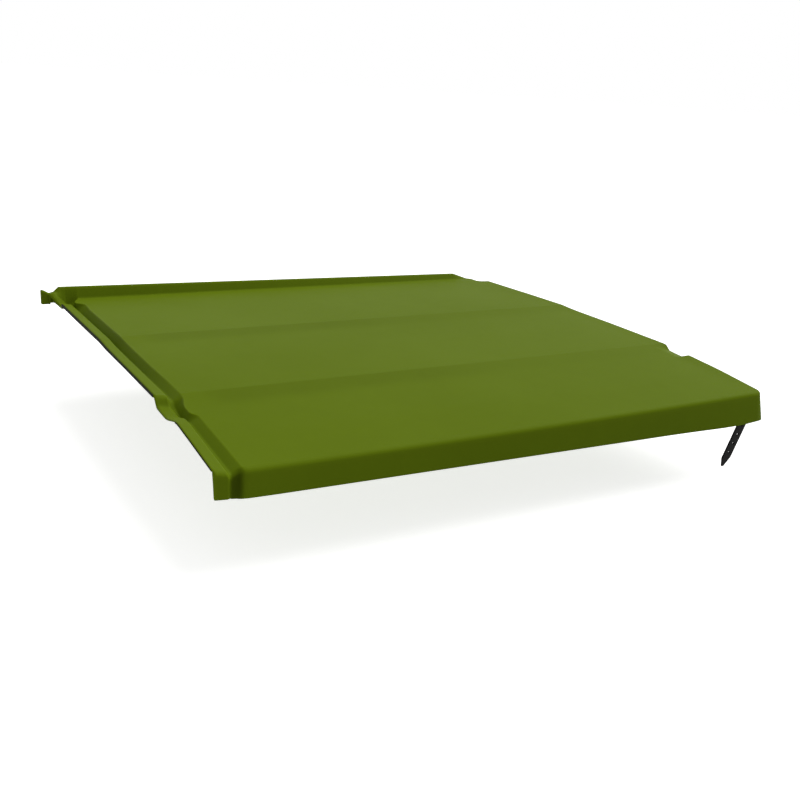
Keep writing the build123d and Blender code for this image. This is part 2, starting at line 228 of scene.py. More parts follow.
def make_piece(
    name: str,
    points: np.ndarray,
    quads: np.ndarray,
    attributes: Mapping[str, np.ndarray] | None = None,
    settle: bool = False,
) -> bpy.types.Object:
    """Put points and quads into a smooth mesh object at the origin.

    A quad two of whose corners are one point becomes a triangle, and edges sharper than the crisp
    angle stay crisp.

    Args:
        name: the piece's name.
        points: (n, 3) positions in millimetres.
        quads: (m, 4) point numbers.
        attributes: values per point, by attribute name.
        settle: turn all faces of closed shells outwards.

    Returns:
        The new object, linked to the scene.
    """
    first_twin = quads[:, 0] == quads[:, 3]
    second_twin = quads[:, 1] == quads[:, 2]
    whole = quads[~(first_twin | second_twin)]
    triangles = np.concatenate([
        quads[first_twin & ~second_twin][:, [0, 1, 2]],
        quads[second_twin & ~first_twin][:, [0, 1, 3]],
    ])
    mesh = bpy.data.meshes.new(name)
    mesh.from_pydata((points * MM).tolist(), [], whole.tolist() + triangles.tolist())
    for label, values in (attributes or {}).items():
        layer = mesh.attributes.new(label, "FLOAT", "POINT")
        layer.data.foreach_set("value", np.ascontiguousarray(values, np.float32))
    if settle:
        shells = bmesh.new()
        shells.from_mesh(mesh)
        bmesh.ops.recalc_face_normals(shells, faces=shells.faces)
        shells.to_mesh(mesh)
        shells.free()
    mesh.polygons.foreach_set("use_smooth", np.ones(len(mesh.polygons), bool))
    mesh.set_sharp_from_angle(angle=float(np.radians(CRISP_ANGLE)))
    mesh.validate()
    mesh.update()
    piece = bpy.data.objects.new(name, mesh)
    bpy.context.scene.collection.objects.link(piece)
    return piece


# ---- shader arithmetic ----


class Signal:
    """A shader socket that takes part in arithmetic, with numbers as constants."""

    def __init__(self, board: "Board", socket: bpy.types.NodeSocket) -> None:
        """Wrap a socket of one of the board's nodes."""
        self.board = board
        self.socket = socket

    def _math(self, operation: str, first: "Operand", second: "Operand") -> "Signal":
        """Add one Math node."""
        return self.board.node("ShaderNodeMath", {"operation": operation}, {0: first, 1: second})

    def __add__(self, other: "Operand") -> "Signal":
        """Sum."""
        return self._math("ADD", self, other)

    def __sub__(self, other: "Operand") -> "Signal":
        """Difference."""
        return self._math("SUBTRACT", self, other)

    def __rsub__(self, other: "Operand") -> "Signal":
        """Difference from a constant."""
        return self._math("SUBTRACT", other, self)

    def __mul__(self, other: "Operand") -> "Signal":
        """Product."""
        return self._math("MULTIPLY", self, other)

    __radd__ = __add__
    __rmul__ = __mul__

    def window(self, low: float, high: float) -> "Signal":
        """Smooth share from 0 at low to 1 at high."""
        settings = {"interpolation_type": "SMOOTHSTEP"}
        return self.board.node("ShaderNodeMapRange", settings, {0: self, 1: low, 2: high})


Operand = Union[Signal, float]


class Board:
    """The node tree of a material or a sky, filled by one method."""

    def __init__(self, name: str, world: bool = False) -> None:
        """Start with an empty tree.

        Args:
            name: the material's or sky's name.
            world: make a sky rather than a material.
        """
        self.owner = (bpy.data.worlds if world else bpy.data.materials).new(name)
        self.owner.use_nodes = True
        self.tree = self.owner.node_tree
        self.tree.nodes.clear()
        self.end = "ShaderNodeOutputWorld" if world else "ShaderNodeOutputMaterial"

    def node(
        self,
        kind: str,
        settings: Mapping[str, Any] | None = None,
        inputs: Mapping[Any, Any] | None = None,
        output: Union[int, str] = 0,
    ) -> Signal:
        """Add any node.

        Args:
            kind: the node's type.
            settings: its properties, set before its sockets.
            inputs: constants or signals, by socket name or number.
            output: name or number of the socket to hand back.

        Returns:
            The chosen output.
        """
        added = self.tree.nodes.new(kind)
        for label, value in (settings or {}).items():
            setattr(added, label, value)
        for label, value in (inputs or {}).items():
            if isinstance(value, Signal):
                self.tree.links.new(value.socket, added.inputs[label])
            else:
                added.inputs[label].default_value = value
        return Signal(self, added.outputs[output])

    def place(self, stretch: tuple[float, float, float] = (1.0, 1.0, 1.0)) -> Signal:
        """Object coordinates in metres, scaled along each axis."""
        where = self.node("ShaderNodeTexCoord", output="Object")
        return self.node("ShaderNodeMapping", None, {"Vector": where, "Scale": stretch})

    def noise(self, where: Signal, scale: float, detail: float = 2.0, rough: float = 0.5) -> Signal:
        """Noise between 0 and 1 with a given number of cells to the metre."""
        inputs = {"Vector": where, "Scale": scale, "Detail": detail, "Roughness": rough}
        return self.node("ShaderNodeTexNoise", None, inputs)

    def cells(self, where: Signal, scale: float) -> Signal:
        """Distance to the nearest of a given number of cells to the metre."""
        inputs = {"Vector": where, "Scale": scale}
        return self.node("ShaderNodeTexVoronoi", {"feature": "SMOOTH_F1"}, inputs)

    def attribute(self, name: str) -> Signal:
        """A value stored on the mesh's points."""
        return self.node("ShaderNodeAttribute", {"attribute_name": name}, output="Fac")

    def blend(self, share: Operand, first: Any, second: Any) -> Signal:
        """Mix two colours by a share."""
        inputs = {0: share, 6: first, 7: second}
        return self.node("ShaderNodeMix", {"data_type": "RGBA"}, inputs, 2)

    def relief(self, height: Signal, depth: float, strength: float) -> Signal:
        """Bump normal from a height between 0 and 1 and the depth it stands for, in metres."""
        inputs = {"Height": height, "Distance": depth, "Strength": strength}
        return self.node("ShaderNodeBump", None, inputs)

    def surface(self, **inputs: Any) -> bpy.types.Material:
        """Close the tree with a principled surface, its sockets named with underscores."""
        named = {label.replace("_", " "): value for label, value in inputs.items()}
        return self.close(self.node("ShaderNodeBsdfPrincipled", None, named))

    def close(self, shader: Signal) -> Any:
        """Send a shader to the surface.

        Args:
            shader: the shader.

        Returns:
            The finished material or sky.
        """
        end = self.tree.nodes.new(self.end)
        self.tree.links.new(shader.socket, end.inputs["Surface"])
        return self.owner


def tint(colour: Sequence[float], factor: float) -> tuple[float, float, float, float]:
    """A colour made lighter or darker, with full alpha."""
    return (colour[0] * factor, colour[1] * factor, colour[2] * factor, 1.0)


# ---- finishes ----


@dataclass(frozen=True)
class MouldedPlastic:
    """Through-coloured moulded sheet with a fine haircell grain and a low sheen."""

    name: str
    colour: tuple[float, float, float]
    mottle: float = 0.05
    grain_cells: float = 750.0
    grain_depth: float = 0.00012
    roughness: float = 0.5
    shine: float = 0.012
    drift_cells: float = 2.2
    patch_cells: float = 26.0
    patch_mix: float = 0.3
    fuzz_cells: float = 2.4
    fuzz_mix: float = 0.25
    # painted shade: share and colour of the darker tone painted before the creases, in the flute
    # and on the front skirt
    shade_share: float = 0.11
    shade_tint: float = 0.1
    crest_share: float = 0.22
    crest_tint: float = 1.5
    pit_share: float = 0.10
    pit_tint: float = 0.6
    mottle_window: Span = (0.3, 0.7)
    pit_window: Span = (0.1, 0.55)
    drift_gloss: float = 0.10
    crest_gloss: float = 0.10
    relief: float = 0.5

    def build(self) -> bpy.types.Material:
        """Colour drifts slowly over the sheet, painted shade read from the mesh darkens it, and
        edges rub paler and smoother.

        Returns:
            The finished material.
        """
        board = Board(self.name)
        where = board.place()
        drift = board.noise(where, self.drift_cells, detail=3.0)
        patches = board.noise(where, self.patch_cells, detail=2.0)
        share = drift * (1 - self.patch_mix) + patches * self.patch_mix
        low, high = tint(self.colour, 1 - self.mottle), tint(self.colour, 1 + self.mottle)
        body = board.blend(share.window(*self.mottle_window), low, high)
        crest = board.attribute("crest")
        # painted shade: the mesh attribute darkens the colour before each crease, in the flute and
        # on the front skirt
        painted_shade = board.attribute("painted_shade") * self.shade_share
        shaded_body = board.blend(painted_shade, body, tint(self.colour, self.shade_tint))
        worn = board.blend(crest * self.crest_share, shaded_body, tint(self.colour, self.crest_tint))
        cells = board.cells(where, self.grain_cells)
        fuzz = board.noise(where, self.grain_cells * self.fuzz_cells, detail=1.0)
        pits = cells * (1 - self.fuzz_mix) + fuzz * self.fuzz_mix
        dots = pits.window(*self.pit_window) * self.pit_share
        speck = board.blend(dots, worn, tint(self.colour, self.pit_tint))
        dull = self.roughness + self.drift_gloss / 2
        return board.surface(
            Base_Color=speck,
            Roughness=dull - crest * self.crest_gloss - drift * self.drift_gloss,
            Normal=board.relief(pits, self.grain_depth, self.relief),
            Specular_IOR_Level=self.shine,
        )


@dataclass(frozen=True)
class Rubber:
    """Black rubber: satin where it is moulded, dull where it is extruded."""

    name: str
    colour: tuple[float, float, float]
    roughness: float = 0.6
    bloom: float = 0.5
    stretch: tuple[float, float, float] = (1.0, 1.0, 1.0)
    grain_cells: float = 1400.0
    shine: float = 0.15
    grain_depth: float = 0.00006
    dust_cells: float = 38.0
    dust_lift: float = 0.009
    dust_window: Span = (0.42, 0.8)
    dust_rough: float = 0.2
    grain_rough: float = 0.06
    relief: float = 0.5

    def build(self) -> bpy.types.Material:
        """A grey bloom comes and goes over a fine grain that may run lengthwise.

        Returns:
            The finished material.
        """
        board = Board(self.name)
        grain = board.noise(board.place(self.stretch), self.grain_cells, detail=2.0)
        dust = board.noise(board.place(), self.dust_cells, detail=4.0, rough=0.6)
        pale = tuple(channel + self.dust_lift for channel in self.colour)
        share = dust.window(*self.dust_window) * self.bloom
        clean = self.roughness - self.dust_rough / 2
        return board.surface(
            Base_Color=board.blend(share, tint(self.colour, 1), tint(pale, 1)),
            Roughness=dust * self.dust_rough + clean + grain * self.grain_rough,
            Normal=board.relief(grain, self.grain_depth, self.relief),
            Specular_IOR_Level=self.shine,
        )


@dataclass(frozen=True)
class BareMetal:
    """Bare or plated metal with drawing lines or a faint mottle."""

    name: str
    colour: tuple[float, float, float]
    roughness: float
    stretch: tuple[float, float, float]
    line_cells: float
    line_depth: float = 0.00002
    stain: float = 0.18
    stain_cells: float = 45.0
    stain_window: Span = (0.4, 0.8)
    line_rough: float = 0.22
    stain_rough: float = 0.1
    relief: float = 0.6

    def build(self) -> bpy.types.Material:
        """Lines stretched along the draw change the roughness, and dull patches the colour.

        Returns:
            The finished material.
        """
        board = Board(self.name)
        lines = board.noise(board.place(self.stretch), self.line_cells, detail=4.0, rough=0.65)
        patches = board.noise(board.place(), self.stain_cells, detail=3.0)
        clean, dull = tint(self.colour, 1), tint(self.colour, 1 - self.stain)
        smooth = self.roughness - (self.line_rough + self.stain_rough) / 2
        return board.surface(
            Base_Color=board.blend(patches.window(*self.stain_window), clean, dull),
            Roughness=lines * self.line_rough + patches * self.stain_rough + smooth,
            Normal=board.relief(lines, self.line_depth, self.relief),
            Metallic=1.0,
        )


@dataclass(frozen=True)
class CellFoam:
    """Closed-cell tape with small open bubbles on its cut faces."""

    name: str
    colour: tuple[float, float, float]
    bubble_cells: float = 900.0
    bubble_depth: float = 0.0003
    bubble_window: Span = (0.15, 0.6)
    bubble_rough: float = 0.1
    # painted shade in the bubble hollows and painted light on the walls between them
    bubble_shade_tint: float = 0.55
    bubble_light_tint: float = 1.25
    relief: float = 0.7
    roughness: float = 0.82
    shine: float = 0.2

    def build(self) -> bpy.types.Material:
        """Bubbles are the hollows around each cell's middle, darkened with painted shade, and
        painted light brightens the walls between them.

        Returns:
            The finished material.
        """
        board = Board(self.name)
        bubbles = board.cells(board.place(), self.bubble_cells).window(*self.bubble_window)
        # painted shade in the hollows, painted light on the walls between them
        shaded_hollow, wall = tint(self.colour, self.bubble_shade_tint), tint(self.colour, self.bubble_light_tint)
        return board.surface(
            Base_Color=board.blend(bubbles, shaded_hollow, wall),
            Roughness=bubbles * self.bubble_rough + self.roughness,
            Normal=board.relief(bubbles, self.bubble_depth, self.relief),
            Specular_IOR_Level=self.shine,
        )


FINISHES = (
    MouldedPlastic(Slot.GREEN_PLASTIC.value, (0.118, 0.176, 0.005), mottle=0.035),
    MouldedPlastic(
        Slot.BLACK_NYLON.value,
        (0.018, 0.018, 0.019),
        mottle=0.1,
        grain_cells=1100.0,
        roughness=0.45,
        shine=0.4,
    ),
    Rubber(
        Slot.SEAL_RUBBER.value,
        (0.008, 0.009, 0.006),
        roughness=0.8,
        bloom=0.35,
        stretch=(1.0, 0.05, 1.0),
        shine=0.08,
    ),
    Rubber(Slot.STRAP_RUBBER.value, (0.004, 0.0035, 0.0035), bloom=0.3, shine=0.05),
    CellFoam(Slot.FOAM_TAPE.value, (0.03, 0.03, 0.032)),
    BareMetal(
        Slot.TUBE_ALUMINIUM.value,
        (0.72, 0.73, 0.74),
        roughness=0.38,
        stretch=(0.03, 1.0, 1.0),
        line_cells=900.0,
    ),
    BareMetal(
        Slot.RIVET_ALUMINIUM.value,
        (0.56, 0.57, 0.58),
        roughness=0.34,
        stretch=(1.0, 1.0, 1.0),
        line_cells=500.0,
    ),
    BareMetal(
        Slot.ZINC_STEEL.value,
        (0.62, 0.63, 0.62),
        roughness=0.40,
        stretch=(1.0, 0.4, 1.0),
        line_cells=320.0,
        stain=0.28,
    ),
)


# ---- the moulded sheet ----


class Side(IntEnum):
    """Sides of the sheet's plan, each with its own lower rim."""

    FRONT = 0
    RIGHT = 1
    BACK = 2
    WING = 3
    LEFT = 4


@dataclass
class Border:
    """The edge of the sheet's plan, point by point, anticlockwise seen from above.

    Attributes:
        column: grid column of the point each one starts from.
        row: grid row of that point.
        reach: (n, 2) way from there to the outline, as long as the edge radius.
        side: which Side's lower rim each point belongs to.
    """

    column: np.ndarray
    row: np.ndarray
    reach: np.ndarray
    side: np.ndarray


@dataclass
class CoverPanel:
    """The moulded sheet: creased deck, gutter, rail, upstand with wing, and skirts."""

    name: str = "cover_panel"
    # heights along the middle of the deck: front edge, creases and foot of the upstand
    crease_at: Span = (335.0, 755.0)
    deck_heights: Numbers = (-11.0, 22.0, 32.0, 27.5)
    crease_round: float = 2.5
    crease_band: float = 62.0
    crease_lead: float = 150.0
    crease_soft: float = 25.0
    crease_rise: float = 1.6
    front_sag: float = 3.5
    sag_end: float = 150.0
    # left edge: strip, its drop, gutter floor and wall; the rail's height over the deck
    strip_width: float = 24.0
    drop_run: float = 5.0
    floor_run: float = 7.0
    wall_run: float = 18.0
    floor_height: float = 10.0
    wall_gap: float = 0.8
    contour_rounds: Numbers = (1.6, 1.6, 2.0, 2.2, 14.0)
    tailgate_drop: float = 32.0
    rail_places: Numbers = (0.0, 200.0, 345.0, 600.0, LENGTH)
    rail_rises: Numbers = (2.6, 9.0, 2.5, -1.0, -0.5)
    rail_falls: Numbers = (5.6, 6.4, 4.0, 4.0, 4.0)
    # left lip: its depth, and where its rim leaves the front rim and turns into the wing's
    lip_places: Numbers = (0.0, 215.0, 330.0, 600.0, 800.0, 1000.0, 1140.0)
    lip_depths: Numbers = (3.7, 3.7, 5.8, 6.0, 8.2, 8.0, 7.2)
    lip_front: float = 3.0
    lip_back: Span = (5.0, 1.0)
    # right edge: its height over the deck
    right_places: Numbers = (0.0, 40.0, 150.0, 240.0, 340.0, 900.0, 1130.0)
    right_rises: Numbers = (-0.8, 0.2, 3.4, 3.8, 1.0, 1.0, -0.3)
    # dips across the side edges, as depth and the two ramps
    rail_dip: Numbers = (17.0, 183.0, 268.0, 314.0, 338.0)
    strip_dip: Numbers = (14.5, 208.0, 272.0, 308.0, 328.0)
    right_dip: Numbers = (12.5, 240.0, 259.0, 306.0, 328.0)
    floor_dip: float = 0.6
    left_rear_dip: float = 9.0
    right_rear_dip: float = 16.0
    rear_dip_span: Span = (1130.0, 1160.0)
    dip_fade: float = 42.0
    # bulges of the deck's left edge, as width and the two ramps, and how much of them each
    # place across takes
    bulges: tuple[Numbers, ...] = (
        (12.0, 226.0, 250.0, 270.0, 328.0),
        (19.0, 1106.0, 1136.0, 1140.0, 1198.0),
        (4.0, 380.0, 560.0, 1040.0, 1100.0),
    )
    pull_places: Numbers = (-700.0, -656.0, -649.0, -631.0, -585.0, 0.0)
    pull_shares: Numbers = (0.0, 0.0, 0.32, 1.0, 0.0, 0.0)
    pull_rounds: Numbers = (1.0, 1.0, 1.0, 4.0)
    # upstand: its foot, its face, and its top from the wing's notch to the sloping end
    foot_at: float = 1192.0
    foot_run: float = 2.0
    face_foot: float = 1186.0
    face_brow: float = 1200.0
    face_round: float = 2.0
    level_run: float = 100.0
    ridge_places: Numbers = (-715.0, -703.0, -691.0, -678.0, 584.0, HALF_WIDTH, HALF_WIDTH + 50.0)
    ridge_heights: Numbers = (52.0, 48.5, 41.2, 44.0, 56.5, 42.5, 8.5, -4.0)
    ridge_rounds: Numbers = (2.0, 2.0, 2.0, 2.0, 5.0, 2.0)
    # wing, and the stretch where the strip flares and climbs to it
    wing_tip: float = -724.0
    wing_bottom: float = 13.5
    wing_step: float = 1.0
    climb_from: float = 1158.0
    climb_fade: Span = (655.0, 664.0)
    climb_places: Numbers = (-724.0, -706.0, -691.0, -666.0, -655.0)
    climb_heights: Numbers = (52.0, 42.0, 45.0, 17.0, 0.0)
    climb_rounds: Numbers = (2.0, 4.0, 2.0)
    flare: float = 20.0
    flare_ramp: Span = (640.0, 676.0)
    # lower rims
    front_places: Numbers = (
        -HALF_WIDTH, -657.0, -649.0, -637.0, -629.0, 560.0, 625.0, 660.0, HALF_WIDTH
    )
    front_bottoms: Numbers = (-62.2, -63.2, -67.4, -68.6, -66.6, -84.9, -84.2, -81.5, -80.4)
    side_drop: float = 69.0
    back_places: Numbers = (-800.0, -689.0, -671.0, -622.0, -600.0, HALF_WIDTH)
    back_steps: Numbers = (-5.0, -5.0, -25.0)
    back_rounds: Numbers = (1.0, 2.0, 3.0, 3.0)
    rim_round: float = 1.0
    bevel: float = 0.3
    # flute down the front skirt's left end
    flute_depth: float = 9.0
    flute_end: float = 75.0
    flute_places: Numbers = (-700.0, -658.0, -651.0, -638.0, -630.0, 0.0)
    flute_rounds: Numbers = (2.0, 3.0, 3.5, 6.0)
    # rounded edges and corners of the plan
    front_radius: float = 9.0
    side_radius: float = 8.0
    rail_radius: float = 4.2
    rail_flatness: float = 0.6
    rail_flat_end: float = 300.0
    corner: float = 13.0
    back_corner: float = 14.0
    corner_splay: float = 0.9
    fan: int = 6
    edge_turns: int = 6
    # how skirts lean outwards on their way down
    draft: float = 3.0
    draft_end: float = -560.0
    draft_depth: float = 60.0
    side_draft: float = 1.2
    front_lean: float = 5.0
    front_lean_span: Span = (380.0, 660.0)
    tuck: float = 2.5
    tuck_end: float = -660.0
    tuck_fade: Span = (30.0, 60.0)
    wall_shares: Numbers = (0.15, 0.3, 0.45, 0.6, 0.75, 0.88, 1.0)
    least_wall: float = 0.5
    steepest: float = 2.4
    steepest_edge: float = 0.3
    # grid lines between the rounded edges, and the greatest step of each run
    across_places: Numbers = (-666.0, -644.0, -634.0, -628.0, -580.0, 560.0, 632.0)
    across_steps: Numbers = (2.5, 30.0, 2.0, 0.9, 2.5, 0.6, 5.0, 30.0, 6.0, 3.0)
    along_places: Numbers = (
        30.0, 80.0, 180.0, 274.0, 306.0, 350.0, 660.0, 748.0, 762.0, 1100.0, 1180.0
    )
    along_steps: Numbers = (2.6, 6.0, 12.0, 3.0, 4.0, 1.5, 22.0, 8.0, 1.2, 22.0, 2.0, 0.9, 0.9)
    # tones: painted shade before each crease, in the flute and on the front skirt, and pale crests
    shade_reach: Span = (1.35, 0.6)
    shade_end: float = 3.0
    shade_left: Span = (-600.0, -560.0)
    shade_right: Span = (-150.0, 320.0)
    shade_loss: float = 0.75
    # painted shade in the flute, as strength and the two ramps across, and on the front skirt
    flute_shade: Numbers = (4.8, -661.0, -645.0, -637.0, -628.0)
    front_shade: float = 1.1
    shade_rings: float = 5.0
    crest_gain: float = 5.0
    crest_rings: Numbers = (0.3, 0.7, 1.0, 1.0, 0.7, 0.3)

    def deck(self, s: np.ndarray) -> np.ndarray:
        """Height of the deck.

        Three runs meet at the creases, and the last stretch before each crease first falls a
        little behind its run and then climbs to it, so that the crease reads as a soft step.

        Args:
            s: places along.

        Returns:
            Heights there.
        """
        knots = (0.0, *self.crease_at, self.foot_at)
        line = rounded_line(s, knots, self.deck_heights, (self.crease_round,) * 2)
        lags = (0.0, self.crease_rise, 0.0, 0.0)
        for crease in self.crease_at:
            start = crease - self.crease_band
            knots = (start - self.crease_lead, start, crease, crease + self.crease_lead)
            depth = rounded_line(s, knots, lags, (self.crease_soft, self.crease_round))
            line = line - np.maximum(depth, 0.0)
        return line

    def painted_shade(self, x: np.ndarray, s: np.ndarray) -> np.ndarray:
        """Share of the painted shade: full at each crease, fading forward and to the right.

        Args:
            x: places across.
            s: places along.

        Returns:
            Shares there.
        """
        tone = np.zeros_like(s)
        for crease in self.crease_at:
            start, full = (crease - share * self.crease_band for share in self.shade_reach)
            end = ease(s, crease - self.shade_end, crease + self.shade_end)
            tone = tone + ease(s, start, full) * (1 - end)
        return tone * ease(x, *self.shade_left) * (1 - self.shade_loss * ease(x, *self.shade_right))

    def seat(self, s: np.ndarray) -> np.ndarray:
        """Height of the box rim: level, and falling to the tailgate before the first crease."""
        knots = (0.0, self.crease_at[0], LENGTH)
        return rounded_line(s, knots, (-self.tailgate_drop, 0.0, 0.0), (self.crease_round,))

    @staticmethod
    def trough(at: np.ndarray, shape: Sequence[float]) -> np.ndarray:
        """A depth between two smooth ramps, from its size and the four ends of the ramps."""
        size, first, second, third, fourth = shape
        return size * (ease(at, first, second) - ease(at, third, fourth))

    def contour(self, x: np.ndarray, s: np.ndarray) -> np.ndarray:
        """Height of the sheet without its upstand.

        Across the cover it is a rounded line whose knots stand at fixed places and whose heights
        follow the deck, the box rim and the dips. The middle of the front edge sags by a parabola
        that fades out towards the first crease.

        Args:
            x: places across.
            s: places along.

        Returns:
            Heights there.
        """
        behind = ease(s, *self.rear_dip_span)
        rail_dip = self.trough(s, self.rail_dip) + self.left_rear_dip * behind
        strip_dip = self.trough(s, self.strip_dip) + self.left_rear_dip * behind
        right_dip = self.trough(s, self.right_dip) + self.right_rear_dip * behind
        deck = self.deck(s)
        rail = deck + np.interp(s, self.rail_places, self.rail_rises)
        floor = self.seat(s) + self.floor_height - self.trough(s, self.strip_dip) * self.floor_dip
        edge = -HALF_WIDTH
        steps = np.cumsum([self.strip_width, self.drop_run, self.floor_run, self.wall_run])
        knots = [edge, *(edge + steps), HALF_WIDTH - self.dip_fade, HALF_WIDTH]
        values = [
            rail - rail_dip,
            rail - strip_dip - np.interp(s, self.rail_places, self.rail_falls),
            floor,
            floor,
            deck - self.wall_gap,
            deck,
            deck + np.interp(s, self.right_places, self.right_rises) - right_dip,
        ]
        height = rounded_line(x, knots, values, self.contour_rounds)
        deck_edge = knots[4]
        share = np.clip((x - deck_edge) / (HALF_WIDTH - deck_edge), 0.0, 1.0)
        sag = self.front_sag * 4 * share * (1 - share) * (1 - ease(s, 0.0, self.sag_end))
        return height - sag

    def ridge(self, x: np.ndarray) -> np.ndarray:
        """Height of the upstand's top, from the wing's tip over its notch to the sloping end."""
        knots = (self.wing_tip, *self.ridge_places)
        return rounded_line(x, knots, self.ridge_heights, self.ridge_rounds)

    def height(self, x: np.ndarray, s: np.ndarray) -> np.ndarray:
        """Height of the sheet: its contour, the strip's climb to the wing, and the upstand.

        The climb adds a share of what is missing up to a slanting line, and the upstand's face is
        a rounded ramp from its foot to the ridge. Both are read where the bent plan puts a place.

        Args:
            x: places across.
            s: places along.

        Returns:
            Heights there.
        """
        bent = self.warp(x, s)[0]
        base = self.contour(x, np.minimum(s, self.foot_at + self.foot_run))
        slant = rounded_line(bent, self.climb_places, self.climb_heights, self.climb_rounds)
        near = ease(s, self.climb_from, self.foot_at)
        base = base + np.maximum(slant - base, 0.0) * near * ease(-bent, *self.climb_fade)
        foot, brow = self.face_foot, self.face_brow
        knots = (foot - self.level_run, foot, brow, brow + self.level_run)
        share = rounded_line(s, knots, (0.0, 0.0, 1.0, 1.0), (self.face_round,) * 2)
        return base + (self.ridge(bent) - base) * np.clip(share, 0.0, 1.0)

    def lines(self) -> tuple[np.ndarray, np.ndarray, int, int]:
        """Lay out the grid.

        Returns:
            Its lines across and along, and the numbers of the column and the row that bound the
            notch of the L-shaped plan.
        """
        left = -HALF_WIDTH + self.rail_radius
        wing = self.wing_tip + self.rail_radius
        inner = left - self.flare - self.across_steps[0]
        right = HALF_WIDTH - self.side_radius
        shoulder = self.foot_at + self.rail_radius
        back = LENGTH - self.rail_radius
        across = spaced((wing, inner, left, *self.across_places, right), self.across_steps)
        places = (self.front_radius, *self.along_places, shoulder, back)
        along = spaced(places, self.along_steps)
        column = int(np.argmin(np.abs(across - left)))
        row = int(np.argmin(np.abs(along - shoulder)))
        return across, along, column, row

    def warp(self, x: np.ndarray, s: np.ndarray) -> tuple[np.ndarray, np.ndarray]:
        """Bend the plan: the flute moves back, the strip flares left, the deck's edge bulges left.

        Each move is a profile across times a fade along: the flute's profile is a rounded
        trapezium that fades out behind the edge, the flare grows towards the upstand, and the
        bulges peak at the deck's edge where the strip beside it dips.

        Args:
            x: places across.
            s: places along.

        Returns:
            The moved places, across and along.
        """
        depths = (0.0, 0.0, self.flute_depth, self.flute_depth, 0.0, 0.0)
        flute = rounded_line(x, self.flute_places, depths, self.flute_rounds)
        fade = 1 - ease(s, self.front_radius, self.flute_end)
        flared = self.flare * ease(s, self.climb_from, self.foot_at) * ease(-x, *self.flare_ramp)
        flared = np.where(x < -HALF_WIDTH + self.rail_radius - HAIR, 0.0, flared)
        pull = rounded_line(x, self.pull_places, self.pull_shares, self.pull_rounds)
        bulge = sum(self.trough(s, shape) for shape in self.bulges)
        return self.soften(x - flared - bulge * np.clip(pull, 0.0, 1.0), s + flute * fade)

    def rim_height(self, x: np.ndarray, s: np.ndarray, top: np.ndarray, side: Side) -> np.ndarray:
        """Lower rim along one side of the outline.

        Args:
            x: places across.
            s: places along.
            top: height of the sheet's edge there, which the left lip hangs from.
            side: the side.

        Returns:
            Heights of the rim.
        """
        if side is Side.FRONT:
            return np.interp(x, self.front_places, self.front_bottoms)
        if side is Side.RIGHT:
            return self.deck(s) - self.side_drop
        wing = self.wing_bottom
        if side is Side.BACK:
            levels = (wing, wing, *self.back_steps, self.deck_heights[3] - self.side_drop)
            return rounded_line(x, self.back_places, levels, self.back_rounds)
        if side is Side.WING:
            return np.full_like(x, wing)
        lip = top - self.lip_depth(s)
        start, end = (self.foot_at - reach for reach in self.lip_back)
        lip = lip + (wing - self.wing_step - lip) * ease(s, start, end)
        behind = ease(s, self.lip_front, self.front_radius)
        return lip + (self.front_bottoms[0] - lip) * (1 - behind)

    def lip_depth(self, s: np.ndarray) -> np.ndarray:
        """How far the left lip hangs below the rail's edge."""
        return np.interp(s, self.lip_places, self.lip_depths)

    def lip_rim(self, s: np.ndarray) -> np.ndarray:
        """Lowest height of the left lip at places along it."""
        x = np.full_like(s, -HALF_WIDTH + self.rail_radius)
        return self.rim_height(x, s, self.height(x, s), Side.LEFT)

    def corners(
        self, x: np.ndarray, s: np.ndarray
    ) -> Iterator[tuple[float, float, float, np.ndarray, np.ndarray]]:
        """Go over the two right corners of the plan, which are rounded.

        Args:
            x: places across.
            s: places along.

        Yields:
            The corner's size, its sign along, the edge radius of the side it ends, and how far
            each place is into the corner across and along, from 0 to 1.
        """
        right, front, back = HALF_WIDTH - self.side_radius, self.front_radius, self.rail_radius
        for size, at, turn, end in (
            (self.corner, front, -1.0, front),
            (self.back_corner, LENGTH - back, 1.0, back),
        ):
            u = np.clip((x - right) / size + 1, 0.0, 1.0)
            v = np.clip(turn * (s - at) / size + 1, 0.0, 1.0)
            yield size, turn, end, u, v

    def soften(self, x: np.ndarray, s: np.ndarray) -> tuple[np.ndarray, np.ndarray]:
        """Round the right corners of the plan: a square corner patch maps onto a quarter disc.

        With u and v from 0 to 1 towards the corner, they become u sqrt(1 - v^2 / 2) and
        v sqrt(1 - u^2 / 2).

        Args:
            x: places across.
            s: places along.

        Returns:
            The moved places, across and along.
        """
        for size, turn, _, u, v in self.corners(x, s):
            x = x - size * u * (1 - np.sqrt(1 - v * v / 2))
            s = s - turn * size * v * (1 - np.sqrt(1 - u * u / 2))
        return x, s

